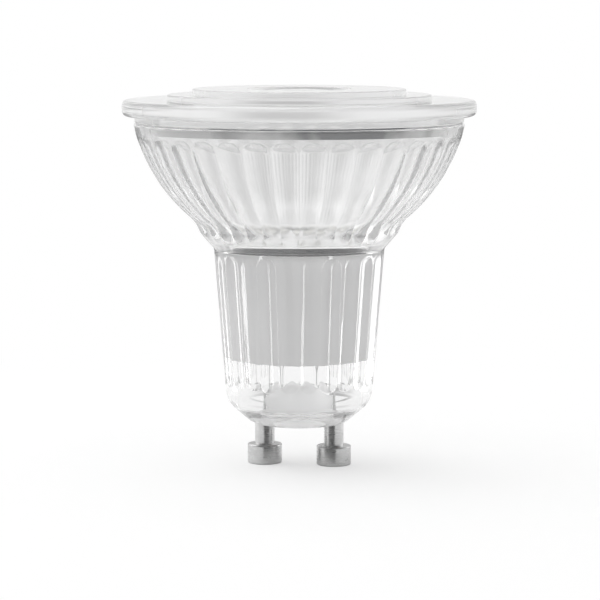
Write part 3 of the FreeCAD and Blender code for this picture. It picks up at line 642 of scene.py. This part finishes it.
def outline_points(corners, per_run):
    """Points along a closed outline of straight runs, the same number on each."""
    spots = np.array(corners)
    share = np.linspace(0.0, 1.0, per_run, endpoint=False)[None, :, None]
    runs = spots[:, None, :] + (np.roll(spots, -1, axis=0) - spots)[:, None, :] * share
    return runs.reshape(-1, 2)


def led_points(inside, place):
    """Rings of one LED package: its outline, drawn in by a share at each height, from foot to phosphor.

    A point o of the outline, turned to its place c on the LED circle, gives c + share R(o) at each height.
    """
    half_width, half_length, cut = inside.led_width / 2, inside.led_length / 2, inside.led_corner
    outline = outline_points([
        (-half_width, -half_length),
        (half_width, -half_length),
        (half_width, half_length - cut),
        (half_width - cut, half_length),
        (-half_width, half_length),
    ], 8)
    tall = inside.led_height
    shares = np.array(LED_SECTION)
    turned = np.array([[math.cos(place), math.sin(place)], [-math.sin(place), math.cos(place)]])
    flat = shares[:, :1, None] * (outline @ turned)[None, :, :]
    flat = flat + inside.led_ring * np.array([math.cos(place), math.sin(place)])
    height = inside.board_top + tall * shares[:, 1:, None] + 0.0 * flat[:, :, :1]
    return np.concatenate([flat, height], axis=-1)


def plug(tree, node, inputs):
    """Gives each named input of a node a value or a link."""
    for name, value in inputs.items():
        if isinstance(value, bpy.types.NodeSocket):
            tree.links.new(value, node.inputs[name])
        else:
            node.inputs[name].default_value = value


def add(tree, kind, inputs=None, **settings):
    """Adds a node, sets its properties, and gives its inputs values or links."""
    node = tree.nodes.new(kind)
    for name, value in settings.items():
        setattr(node, name, value)
    plug(tree, node, inputs or {})
    return node


def maths(tree, operation, *values):
    """What an operation makes of numbers."""
    return add(tree, "ShaderNodeMath", dict(enumerate(values)), operation=operation).outputs[0]


def bare_tree(owner):
    """The node tree of a new material or world, emptied."""
    owner.use_nodes = True
    owner.node_tree.nodes.clear()
    return owner.node_tree


def new_material(name, values):
    """A material with one Principled shader, given back with its tree, shader and Object coordinates."""
    material = bpy.data.materials.new(name)
    tree = bare_tree(material)
    shader = add(tree, "ShaderNodeBsdfPrincipled", values)
    add(tree, "ShaderNodeOutputMaterial", {"Surface": shader.outputs["BSDF"]})
    where = add(tree, "ShaderNodeTexCoord").outputs["Object"]
    return material, tree, shader, where


def per_mm(size):
    """Texture scale that gives features of a size in millimetres."""
    return 1.0 / (size * MM)


def ramp(tree, source, stops):
    """A ramp from a number to colours or greys, given as place and colour."""
    node = add(tree, "ShaderNodeValToRGB", {"Fac": source})
    elements = node.color_ramp.elements
    while len(elements) < len(stops):
        elements.new(0.5)
    for element, (place, shade) in zip(elements, stops):
        element.position = place
        element.color = shade if isinstance(shade, tuple) else (shade, shade, shade, 1.0)
    return node.outputs["Color"]


def spread(tree, source, low, high):
    """A ramp from one colour or grey to another over the range that noise mostly keeps to."""
    return ramp(tree, source, [(0.3, low), (0.7, high)])


def noise(tree, where, size, detail):
    """Noise with features of a size in millimetres."""
    return add(tree, "ShaderNodeTexNoise", {
        "Vector": where, "Scale": per_mm(size), "Detail": detail}).outputs["Fac"]


def tool_rings(tree, where, wide, thin, detail):
    """Noise in level layers, wide and thin in millimetres, which shows as fine rings on a turned part."""
    layers = add(tree, "ShaderNodeMapping", {
        "Vector": where, "Scale": (per_mm(wide), per_mm(wide), per_mm(thin))})
    return add(tree, "ShaderNodeTexNoise", {
        "Vector": layers.outputs["Vector"], "Scale": 1.0, "Detail": detail}).outputs["Fac"]


def bump(tree, height, depth, strength):
    """Normals of a skin with a relief of a depth in millimetres."""
    return add(tree, "ShaderNodeBump", {
        "Height": height, "Distance": depth * MM, "Strength": strength}).outputs["Normal"]


def darker(base, share):
    """A colour at a share of its brightness."""
    return tuple(share * part for part in base[:3]) + (1.0,)


def clear_material(name, tint, bend, clear):
    """A see-through material that mirrors and bends light, and lets the light of lamps straight through.

    clear is the share of light that passes. The rest is scattered back as white.
    """
    material, tree, shader, where = new_material(name, {
        "Base Color": tint, "Roughness": 0.0, "IOR": bend, "Transmission Weight": clear})
    lamps = add(tree, "ShaderNodeBsdfTransparent")
    path = add(tree, "ShaderNodeLightPath")
    both = add(tree, "ShaderNodeMixShader", {
        0: path.outputs["Is Shadow Ray"], 1: shader.outputs["BSDF"], 2: lamps.outputs["BSDF"]})
    output = next(node for node in tree.nodes if node.type == "OUTPUT_MATERIAL")
    plug(tree, output, {"Surface": both.outputs["Shader"]})
    return material, tree, shader, where


def pressed_glass(tint):
    """Soda-lime glass pressed in a mould and fire polished.

    It is clear and colourless, and the ripple of its chilled skin makes what is behind it waver a little.
    """
    material, tree, shader, where = clear_material("pressed_soda_lime_glass", tint, GLASS_BEND, clear=1.0)
    ripple = noise(tree, where, size=4.0, detail=1.0)
    plug(tree, shader, {"Normal": bump(tree, ripple, depth=0.02, strength=0.6)})
    return material


def satin_glass(name, tint, rough, clear):
    """The same glass where the plunger of the press left it satin: it blurs what is behind it, unevenly."""
    material, tree, shader, where = clear_material(name, tint, GLASS_BEND, clear)
    cloud = noise(tree, where, size=3.0, detail=2.0)
    uneven = 0.04
    plug(tree, shader, {"Roughness": spread(tree, cloud, rough - uneven, rough + uneven)})
    return material


def evaporated_film(top, low, high_edge, low_edge):
    """Aluminium evaporated on the bore and lacquered: matt grey through the glass, paler where it is thin."""
    material, tree, shader, where = new_material("evaporated_aluminium_film", {
        "Roughness": 0.55, "Specular IOR Level": 0.2})
    height = add(tree, "ShaderNodeSeparateXYZ", {0: where}).outputs["Z"]
    cloud = noise(tree, where, size=2.5, detail=3.0)
    share = add(tree, "ShaderNodeMapRange", {
        "Value": height, "From Min": low_edge, "From Max": high_edge, "To Min": 0.0, "To Max": 0.8})
    mixed = maths(tree, "MULTIPLY_ADD", cloud, 0.3, share.outputs["Result"])
    plug(tree, shader, {"Base Color": ramp(tree, mixed, [(0.2, tuple(low)), (0.75, tuple(top))])})
    return material


def moulded_acrylic(tint):
    """Acrylic with diffuser in it, from an injection mould: a little milky, with a very faint orange peel."""
    material, tree, shader, where = clear_material("moulded_clear_acrylic", tint, ACRYLIC_BEND, clear=0.72)
    peel = noise(tree, where, size=2.5, detail=2.0)
    plug(tree, shader, {"Roughness": 0.02, "Normal": bump(tree, peel, depth=0.001, strength=0.6)})
    return material


def plated_metal(name, base):
    """Nickel or tin plate on turned or drawn metal: satin, with fine rings from the tool and a few pits."""
    material, tree, shader, where = new_material(name, {"Metallic": 1.0})
    lines = tool_rings(tree, where, wide=6.0, thin=0.08, detail=2.0)
    cloud = noise(tree, where, size=1.4, detail=4.0)
    pits = add(tree, "ShaderNodeTexVoronoi", {"Vector": where, "Scale": per_mm(0.9)})
    sound = ramp(tree, pits.outputs["Distance"], [(0.0, 0.0), (0.10, 0.35), (0.16, 1.0)])
    patina = ramp(tree, cloud, [(0.3, darker(base, 0.86)), (0.65, tuple(base))])
    shade = add(tree, "ShaderNodeMix", {0: sound, 6: darker(base, 0.45), 7: patina}, data_type="RGBA")
    deep = maths(tree, "MULTIPLY", lines, sound)
    plug(tree, shader, {
        "Base Color": shade.outputs[2],
        "Roughness": spread(tree, lines, 0.24, 0.34),
        "Normal": bump(tree, deep, depth=0.003, strength=0.5),
    })
    return material


def spun_aluminium(name, base):
    """Aluminium spun over a former, trimmed or punched: matt, with fine rings round the axis. Given the dark
    edge colour, it carries the painted shade of the trimmed and punched edges.
    """
    material, tree, shader, where = new_material(name, {"Metallic": 1.0})
    lines = tool_rings(tree, where, wide=12.0, thin=0.22, detail=3.0)
    plug(tree, shader, {
        "Base Color": spread(tree, lines, darker(base, 0.9), tuple(base)),
        "Roughness": spread(tree, lines, 0.42, 0.58),
        "Normal": bump(tree, lines, depth=0.01, strength=0.4),
    })
    return material


def moulded_plastic(name, base, rough, grain=0.4):
    """Moulded, dipped or painted plastic, rubber or lacquer: an even colour that a fine grain makes soft.

    grain is the size of the grain in millimetres.
    """
    material, tree, shader, where = new_material(name, {"Specular IOR Level": 0.45})
    fine = noise(tree, where, size=grain, detail=3.0)
    uneven = 0.06
    plug(tree, shader, {
        "Base Color": spread(tree, fine, darker(base, 0.9), tuple(base)),
        "Roughness": spread(tree, fine, rough - uneven, rough + uneven),
        "Normal": bump(tree, fine, depth=0.01, strength=0.3),
    })
    return material


def cured_silicone(thin, thick, side):
    """Silicone pressed into the joint: pale, with painted shade that darkens it towards one side, in clouds.
    """
    material, tree, shader, where = new_material("cured_silicone", {"Roughness": 0.35})
    # Painted shade: darker towards one side of the bead, in clouds of noise.
    to_shade = (math.sin(side), -math.cos(side), 0.0)
    facing = add(tree, "ShaderNodeVectorMath", {0: where, 1: to_shade}, operation="DOT_PRODUCT")
    share = maths(tree, "MULTIPLY_ADD", facing.outputs["Value"], per_mm(22.0), -0.5)
    laid = maths(tree, "ADD", share, noise(tree, where, size=5.0, detail=2.0))
    plug(tree, shader, {"Base Color": ramp(tree, laid, [(0.72, tuple(thin)), (0.98, tuple(thick))])})
    return material


def solder_mask(base):
    """White solder mask printed over copper: glossy lacquer, a shade darker where no copper is below it."""
    material, tree, shader, where = new_material("white_solder_mask", {"Roughness": 0.28})
    flat = add(tree, "ShaderNodeVectorMath", {0: where, 1: (1.0, 1.0, 0.0)}, operation="MULTIPLY")
    span = add(tree, "ShaderNodeVectorMath", {0: flat.outputs["Vector"]}, operation="LENGTH")
    share = maths(tree, "DIVIDE", span.outputs["Value"], 12.0 * MM)
    laid, bare = tuple(base), darker(base, 0.86)
    copper = ramp(tree, share, [
        (0.30, bare), (0.31, laid), (0.56, laid), (0.57, bare), (0.595, bare), (0.605, laid), (0.84, laid),
        (0.85, bare)])
    plug(tree, shader, {"Base Color": copper})
    return material


def led_phosphor(base):
    """Phosphor stirred into clear silicone: a pale matt grain under a soft gloss."""
    material, tree, shader, where = new_material("phosphor_in_silicone", {
        "Roughness": 0.3, "Coat Weight": 0.4})
    grain = noise(tree, where, size=0.12, detail=2.0)
    plug(tree, shader, {"Base Color": spread(tree, grain, darker(base, 0.88), tuple(base))})
    return material


def settle(piece, slot, nodes, *materials):
    """Gives a new piece its materials, its body and the CAD nodes that it stands for, which it hides. The
    slot is not used.
    """
    for material in materials:
        piece.data.materials.append(material)
    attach(piece, BODY)
    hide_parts(*nodes)


def dress(node, material):
    """Gives a CAD node that stays a better material."""
    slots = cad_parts[node].data.materials
    slots.clear()
    slots.append(material)


class BULB_OT_glass_body(bpy.types.Operator):
    """Press the fluted glass body"""

    bl_idname = "bulb.glass_body"
    bl_label = "Glass Body"

    def execute(self, context):
        glass = context.scene.bulb_glass
        points = glass_points(glass)
        piece = grid_object("pressed_glass_body", points, bands=glass_bands(glass, points))
        film = evaporated_film(glass.film_top, glass.film_low, glass.ledge_height, glass.film_foot)
        satin = satin_glass("satin_soda_lime_glass", glass.tint, rough=0.2, clear=0.94)
        dome = satin_glass("satin_glass_dome", glass.tint, rough=0.6, clear=0.95)
        settle(piece, "clear_glass", ["glass_body"], pressed_glass(glass.tint), satin, film, dome)
        return {"FINISHED"}


class BULB_OT_front_lens(bpy.types.Operator):
    """Mould the front lens and lay the bead that seals it"""

    bl_idname = "bulb.front_lens"
    bl_label = "Front Lens"

    def execute(self, context):
        lens = context.scene.bulb_lens
        piece = grid_object("moulded_front_lens", turned_points(lens_profile(lens)))
        settle(piece, "clear_acrylic", ["front_lens"], moulded_acrylic(lens.tint))
        fine, gap = BEAD_ROUND, BEAD_PLAY
        bead = rounded_run([
            (lens.spigot_radius + gap, lens.spigot_bottom, fine),
            (lens.seal_foot_radius - gap, lens.spigot_bottom, fine),
            (lens.seal_rim_radius - gap, lens.seal_bottom + gap, fine),
            (lens.seal_outer, lens.seal_bottom + gap, fine),
            (lens.seal_outer, lens.seam - gap, fine),
            (lens.spigot_radius + gap, lens.seam - gap, fine),
        ], closed=True, steps=3)
        seal = grid_object("silicone_bead", turned_points(bead), closed=True)
        # The bead's dark colour is painted shade.
        silicone = cured_silicone(lens.seal_pale, lens.seal_painted_shade, lens.seal_shade_side)
        settle(seal, "clear_silicone", ["lens_seal"], silicone)
        return {"FINISHED"}


class BULB_OT_contact_pins(bpy.types.Operator):
    """Turn the two contact pins and bend the leads that rise from them"""

    bl_idname = "bulb.contact_pins"
    bl_label = "Contact Pins"

    def execute(self, context):
        pin = context.scene.bulb_pin
        profile = rounded_run([
            (0.0, 0.0, 0.0),
            (pin.foot_radius, 0.0, pin.foot_round),
            (pin.foot_radius, pin.foot_height, pin.foot_round),
            (pin.stem_radius, pin.foot_height, pin.corner_round),
            (pin.stem_radius, pin.stem_top, pin.stem_round),
            (0.0, pin.stem_top, 0.0),
        ])
        plate = plated_metal("satin_nickel_plate", pin.plating)
        tin = plated_metal("tinned_copper_wire", linear("#d4d4d4"))
        height = np.linspace(pin.stem_top, pin.lead_top, WIRE_RINGS)
        share = np.clip((height - pin.lead_bend_foot) / (pin.lead_bend_top - pin.lead_bend_foot), 0.0, 1.0)
        inset = pin.lead_inset * share ** 2 * (3.0 - 2.0 * share)
        for side, name in ((-1, "left"), (1, "right")):
            spot = (side * pin.spacing / 2, 0.0)
            piece = grid_object(f"turned_pin_{name}", turned_points(profile, PIN_COLUMNS, spot))
            settle(piece, "nickel_pin", [f"contact_pin_{name}"], plate)
            path = np.stack([side * (pin.spacing / 2 - inset), 0.0 * height, height], axis=-1)
            lead = grid_object(f"tinned_wire_{name}", tube_points(path, pin.lead_radius))
            settle(lead, "tinned_wire", [f"mains_lead_{name}"], tin)
        return {"FINISHED"}


class BULB_OT_heat_sink(bpy.types.Operator):
    """Spin the heat sink, and make its pad and the sleeve inside it"""

    bl_idname = "bulb.heat_sink"
    bl_label = "Heat Sink"

    def execute(self, context):
        inside = context.scene.bulb_inside
        fine = inside.edge_round
        sink = rounded_run([
            (inside.lead_hole, inside.ledge, fine),
            (inside.skirt_top_radius - inside.sink_wall, inside.ledge, fine),
            (inside.skirt_foot_radius - inside.sink_wall, inside.skirt_foot, fine),
            (inside.skirt_foot_radius, inside.skirt_foot, fine),
            (inside.skirt_top_radius, inside.ledge, fine),
            (inside.sink_radius, inside.ledge, fine),
            (inside.sink_radius, inside.sink_top, fine),
            (inside.lead_hole, inside.sink_top, fine),
        ], closed=True, steps=3)
        bands = shaded_edge_bands(sink, inside.sink_radius)
        piece = grid_object("spun_heat_sink", turned_points(sink), closed=True, bands=bands)
        sheet = spun_aluminium("spun_aluminium", inside.aluminium)
        # Painted shade: the plate's outer edge takes the dark edge colour.
        edge = spun_aluminium("aluminium_edge_painted_shade", inside.edge_shade)
        settle(piece, "satin_aluminium", ["heat_sink"], sheet, edge)
        pad = ring_profile(
            inside.lead_hole, inside.pad_radius, inside.sink_top, inside.pad_top, inside.pad_round)
        piece = grid_object("soft_thermal_pad", turned_points(pad), closed=True)
        filled = moulded_plastic("filled_silicone", linear("#a9abad"), rough=0.6)
        settle(piece, "grey_silicone", ["thermal_pad"], filled)
        wall = inside.sleeve_radius - inside.sleeve_wall
        sleeve = rounded_run([
            (wall, inside.sleeve_foot, fine),
            (inside.sleeve_radius, inside.sleeve_foot, fine),
            (inside.sleeve_radius, inside.ledge, fine),
            (inside.lead_hole, inside.ledge, fine),
            (inside.lead_hole, inside.sleeve_roof, fine),
            (wall, inside.sleeve_roof, fine),
        ], closed=True, steps=3)
        piece = grid_object("moulded_sleeve", turned_points(sleeve), closed=True)
        nylon = moulded_plastic("white_nylon", linear("#efefef"), rough=0.45)
        settle(piece, "white_plastic", ["insulating_sleeve"], nylon)
        return {"FINISHED"}


class BULB_OT_led_board(bpy.types.Operator):
    """Make the LED board, its packages and the leads that feed it"""

    bl_idname = "bulb.led_board"
    bl_label = "LED Board"

    def execute(self, context):
        inside = context.scene.bulb_inside
        board = ring_profile(
            inside.lead_hole, inside.board_radius, inside.pad_top, inside.board_top, inside.board_round)
        bands = shaded_edge_bands(board, inside.board_radius)
        piece = grid_object("masked_led_board", turned_points(board), closed=True, bands=bands)
        # Painted shade: the board's edge takes the dark edge colour.
        core = spun_aluminium("board_edge_painted_shade", inside.edge_shade)
        settle(piece, "white_board", ["led_board"], solder_mask(inside.board_mask), core)
        case = moulded_plastic("white_epoxy_package", linear("#f0f0ee"), rough=0.4, grain=0.2)
        phosphor = led_phosphor(inside.phosphor)
        bands = [int(ring >= LED_PHOSPHOR_FROM) for ring in range(len(LED_SECTION) - 1)]
        for led in range(inside.led_count):
            place = FULL_TURN * (led + 0.5) / inside.led_count
            piece = grid_object(f"led_package_{led + 1}", led_points(inside, place), bands=bands)
            piece.data.set_sharp_from_angle(angle=math.radians(35))
            settle(piece, "led_package", [f"led_{led + 1}"], case, phosphor)
        rubber = moulded_plastic("thin_lead_sleeve", linear("#e4e4e2"), rough=0.45)
        level = inside.board_top + inside.lead_radius
        bend = rounded_run([
            (inside.lead_place, inside.lead_foot, 0.0),
            (inside.lead_place, level, inside.lead_bend),
            (inside.lead_reach, level, 0.0),
        ], steps=12)
        for side, name in ((-1, "left"), (1, "right")):
            across = np.full(len(bend), inside.lead_across)
            path = np.stack([side * bend[:, 0], across, bend[:, 1]], axis=-1)
            lead = grid_object(f"board_lead_{name}", tube_points(path, inside.lead_radius))
            settle(lead, "lead_sleeve", [f"output_lead_{name}"], rubber)
        return {"FINISHED"}


# Looks of the driver: material, colour, roughness, grain in millimetres and the CAD nodes that have it.
DRIVER_LOOKS = [
    ("green_glass_epoxy", "#3d6b4d", 0.4, 0.5, ["driver_board"]),
    ("capacitor_shrink_sleeve", "#3a3d42", 0.35, 0.4, ["input_capacitor", "output_capacitor"]),
    ("film_capacitor_case", "#b7432f", 0.4, 0.4, ["film_capacitor"]),
    ("sintered_ferrite", "#4a4745", 0.7, 0.15, ["choke_core"]),
    ("enamelled_copper", "#b0693a", 0.3, 0.4, ["choke_winding"]),
    ("black_epoxy_package", "#2b2c2e", 0.5, 0.2, [
        "bridge_rectifier", "controller_chip", "output_diode",
        "chip_resistor_1", "chip_resistor_2", "chip_resistor_3",
    ]),
    ("resistor_lacquer", "#8fa3a8", 0.5, 0.4, ["fusible_resistor"]),
]


class BULB_OT_driver(bpy.types.Operator):
    """Dress the driver board and what stands on it"""

    bl_idname = "bulb.driver"
    bl_label = "Driver"

    def execute(self, context):
        for name, hex_colour, rough, grain, nodes in DRIVER_LOOKS:
            material = moulded_plastic(name, linear(hex_colour), rough, grain)
            for node in nodes:
                dress(node, material)
        return {"FINISHED"}


# Place of the large lamp, above and behind the bulb on the left.
KEY_SPOT = (-280 * MM, 120 * MM, 700 * MM)
# Light cards that the glass ribs and the pins mirror: name, degrees from the camera and width in millimetres.
LIGHT_CARDS = [
    ("left_card", -102, 6),
    ("front_left_card", -44, 2),
    ("front_right_card", 36, 2),
    ("right_card", 104, 14),
]
# Grey flags that are only mirrored: name, where each starts and ends in degrees from the camera, distance
# from the axis and height in millimetres. One darkens the inner sides of the pins, the other the outline of
# the glass.
GREY_FLAGS = [("pin_flag", -40, 40, 9, 5.5), ("edge_flag", 140, 220, 160, 34)]
# Brightness of the studio walls by degrees from straight behind the bulb, to the left below zero: what is
# seen through the glass, and what is mirrored on glass and metal.
WALLS_THROUGH = [
    (-180, 0.85), (-115, 0.85), (-90, 0.72), (-60, 0.87), (-30, 0.97), (30, 0.97), (60, 0.87), (90, 0.72),
    (115, 0.85), (180, 0.85),
]
WALLS_MIRRORED = [
    (-180, 0.05), (-145, 0.08), (-115, 0.5), (-80, 1.0), (-40, 1.0), (0, 0.9), (40, 0.9), (80, 0.7),
    (115, 0.4), (145, 0.08), (180, 0.05),
]
# The same from straight below to straight above, by height on a ball round the bulb from -1 to 1.
STUDIO_HEIGHTS = [(-1.0, 1.0), (0.35, 1.0), (0.7, 0.85), (1.0, 0.65)]
# The soft grey patch of wall behind the bulb, as darkness by degrees and by height.
PATCH_ROUND = [(-12, 0.0), (-2, 1.0), (8, 1.0), (18, 0.0)]
PATCH_HEIGHTS = [(-0.17, 0.0), (-0.11, 0.55), (0.06, 0.55), (0.12, 0.0)]


def studio_world(stage):
    """White to the camera, an even fill for matt surfaces, and uneven walls for glass and metal."""
    world = bpy.data.worlds.new("white_studio")
    tree = bare_tree(world)
    ray = add(tree, "ShaderNodeTexCoord").outputs["Generated"]
    turn = stage.camera_turn
    to_back, to_right = (-math.sin(turn), math.cos(turn), 0.0), (math.cos(turn), math.sin(turn), 0.0)
    back, right = (
        add(tree, "ShaderNodeVectorMath", {0: ray, 1: way}, operation="DOT_PRODUCT").outputs["Value"]
        for way in (to_back, to_right))
    share = maths(tree, "MULTIPLY_ADD", maths(tree, "ARCTAN2", right, back), 1.0 / FULL_TURN, 0.5)
    through, mirrored, patch_round = (
        ramp(tree, share, [(0.5 + place / 360, shade) for place, shade in walls])
        for walls in (WALLS_THROUGH, WALLS_MIRRORED, PATCH_ROUND))
    up = add(tree, "ShaderNodeSeparateXYZ", {0: ray}).outputs["Z"]
    level = maths(tree, "MULTIPLY_ADD", up, 0.5, 0.5)
    heights, patch_height = (
        ramp(tree, level, [(0.5 + 0.5 * place, shade) for place, shade in stops])
        for stops in (STUDIO_HEIGHTS, PATCH_HEIGHTS))
    rest = maths(tree, "SUBTRACT", 1.0, maths(tree, "MULTIPLY", patch_round, patch_height))
    behind = maths(tree, "MULTIPLY", through, rest)
    path = add(tree, "ShaderNodeLightPath").outputs
    walls = add(tree, "ShaderNodeMix", {0: path["Is Transmission Ray"], 2: mirrored, 3: behind})
    seen = maths(tree, "MULTIPLY", walls.outputs[0], heights)
    clear = maths(tree, "MAXIMUM", path["Is Glossy Ray"], path["Is Transmission Ray"])
    matt = add(tree, "ShaderNodeMix", {0: clear, 2: stage.fill, 3: seen})
    white = add(tree, "ShaderNodeMix", {0: path["Is Camera Ray"], 2: matt.outputs[0], 3: 1.0})
    light = add(tree, "ShaderNodeBackground", {"Color": (1.0, 1.0, 1.0, 1.0), "Strength": white.outputs[0]})
    add(tree, "ShaderNodeOutputWorld", {"Surface": light.outputs["Background"]})
    bpy.context.scene.world = world


def floor_paper(stage):
    """Matt white paper, which takes the shadow.

    Part of what a camera or glass sees of it near the bulb is plain white, and further out all of it is.
    """
    material = bpy.data.materials.new("white_paper_floor")
    tree = bare_tree(material)
    path = add(tree, "ShaderNodeLightPath").outputs
    clear = maths(tree, "MAXIMUM", path["Is Glossy Ray"], path["Is Transmission Ray"])
    seen = maths(tree, "MAXIMUM", path["Is Camera Ray"], clear)
    spot = add(tree, "ShaderNodeTexCoord").outputs["Object"]
    away = add(tree, "ShaderNodeVectorMath", {0: spot}, operation="LENGTH")
    camera = maths(tree, "MULTIPLY", path["Is Camera Ray"], stage.floor_glow)
    near = maths(tree, "MULTIPLY_ADD", path["Is Transmission Ray"], stage.floor_shine, camera)
    rise = add(tree, "ShaderNodeMapRange", {
        "Value": away.outputs["Value"], "To Min": near,
        "From Min": stage.floor_near * stage.floor_radius,
        "From Max": stage.floor_far * stage.floor_radius}, interpolation_type="SMOOTHSTEP")
    glow = maths(tree, "MULTIPLY", seen, rise.outputs["Result"])
    paper = add(tree, "ShaderNodeBsdfDiffuse", {"Color": stage.floor_colour})
    white = add(tree, "ShaderNodeEmission", {"Color": (1.0, 1.0, 1.0, 1.0), "Strength": 1.0})
    both = add(tree, "ShaderNodeMixShader", {0: glow, 1: paper.outputs[0], 2: white.outputs[0]})
    add(tree, "ShaderNodeOutputMaterial", {"Surface": both.outputs[0]})
    return material


def flag_points(stage, start, end, reach, tall):
    """A bent card of some thickness, part of an upright tube about the axis: x = r sin t, y = -r cos t.

    start and end are degrees from the camera. reach and tall are millimetres.
    """
    one_way = stage.camera_turn + np.radians(np.linspace(start, end, FLAG_COLUMNS))
    round_it = np.concatenate([one_way, one_way[::-1]])
    radius = np.repeat([reach * MM, reach * MM + stage.flag_thick], FLAG_COLUMNS)
    height = np.array([0.0, tall * MM])[:, None] + 0.0 * round_it
    flat = 0.0 * height
    return np.stack([flat + radius * np.sin(round_it), flat - radius * np.cos(round_it), height], axis=-1)


def lamp(name, spot, target, width, height, power):
    """A rectangular lamp at a spot that faces a target, unseen by the camera."""
    data = bpy.data.lights.new(name, "AREA")
    data.shape = "RECTANGLE"
    data.size, data.size_y, data.energy = width, height, power
    piece = bpy.data.objects.new(name, data)
    piece.location = spot
    away = np.array(spot) - np.array(target)
    level = math.hypot(away[0], away[1])
    piece.rotation_euler = (math.atan2(level, away[2]), 0.0, math.atan2(away[0], -away[1]))
    piece.visible_camera = False
    bpy.context.scene.collection.objects.link(piece)
    return piece


class BULB_OT_stage(bpy.types.Operator):
    """Lay the floor and set the lamps and the camera"""

    bl_idname = "bulb.stage"
    bl_label = "Stage"

    def execute(self, context):
        scene, stage = context.scene, context.scene.bulb_stage
        turn, distance = stage.camera_turn, stage.camera_distance
        paper = grid_object("paper_floor", turned_points(np.array([(stage.floor_radius, 0.0), (0.0, 0.0)])))
        paper.data.materials.append(floor_paper(stage))
        studio_world(stage)
        lamp("key_lamp", KEY_SPOT, (0.0, 0.0, stage.key_aim), stage.key_size, stage.key_size, stage.key_power)
        for name, aside, width in LIGHT_CARDS:
            way, tall, reach = turn + math.radians(aside), stage.card_tall, stage.card_distance
            spot = (reach * math.sin(way), -reach * math.cos(way), stage.card_height)
            power = stage.card_light * math.pi * width * MM * tall
            card = lamp(name, spot, (0.0, 0.0, stage.card_aim), width * MM, tall, power)
            card.visible_diffuse = card.visible_transmission = False
            card.data.spread = stage.card_spread
            card.data.cycles.max_bounces = 1
        grey = moulded_plastic("grey_card", stage.flag_colour, rough=0.9)
        for name, start, end, reach, tall in GREY_FLAGS:
            flag = grid_object(name, flag_points(stage, start, end, reach, tall))
            flag.data.materials.append(grey)
            flag.visible_camera = flag.visible_diffuse = False
            flag.visible_transmission = flag.visible_shadow = False
        data = bpy.data.cameras.new("photo_camera")
        data.lens, data.sensor_width, data.shift_x = stage.camera_lens, 36.0, stage.camera_shift
        camera = bpy.data.objects.new("photo_camera", data)
        camera.location = (distance * math.sin(turn), -distance * math.cos(turn), stage.camera_height)
        camera.rotation_euler = (math.pi / 2 - stage.camera_dip, 0.0, turn)
        scene.collection.objects.link(camera)
        scene.camera = camera
        scene.view_settings.view_transform = "Standard"
        # Light crosses many walls of glass, and sparks that it leaves on the way are held back.
        scene.cycles.max_bounces = scene.cycles.transmission_bounces = scene.cycles.glossy_bounces = 96
        scene.cycles.sample_clamp_indirect = 1.5
        scene.cycles.use_denoising = True
        return {"FINISHED"}


STEPS = (
    BULB_OT_glass_body,
    BULB_OT_front_lens,
    BULB_OT_contact_pins,
    BULB_OT_heat_sink,
    BULB_OT_led_board,
    BULB_OT_driver,
    BULB_OT_stage,
)
SETTINGS = {
    "bulb_glass": GlassSettings,
    "bulb_lens": LensSettings,
    "bulb_pin": PinSettings,
    "bulb_inside": InsideSettings,
    "bulb_stage": StageSettings,
}


class BULB_PT_build(bpy.types.Panel):
    """The bulb's build steps and their settings"""

    bl_label = "Spotlight Bulb"
    bl_idname = "BULB_PT_build"
    bl_space_type = "VIEW_3D"
    bl_region_type = "UI"
    bl_category = "Bulb"

    def draw(self, context):
        for step in STEPS:
            self.layout.operator(step.bl_idname)
        for name, group in SETTINGS.items():
            box = self.layout.box()
            box.label(text=group.__doc__.rstrip("."))
            for setting in group.__annotations__:
                box.prop(getattr(context.scene, name), setting)


CLASSES = (*SETTINGS.values(), *STEPS, BULB_PT_build)


def register():
    for part in CLASSES:
        bpy.utils.register_class(part)
    for name, group in SETTINGS.items():
        setattr(bpy.types.Scene, name, bpy.props.PointerProperty(type=group))


def unregister():
    for name in SETTINGS:
        delattr(bpy.types.Scene, name)
    for part in reversed(CLASSES):
        bpy.utils.unregister_class(part)


def main():
    register()
    bpy.ops.bulb.glass_body()
    bpy.ops.bulb.front_lens()
    bpy.ops.bulb.contact_pins()
    bpy.ops.bulb.heat_sink()
    bpy.ops.bulb.led_board()
    bpy.ops.bulb.driver()
    bpy.ops.bulb.stage()


if __name__ == "__main__":
    main()
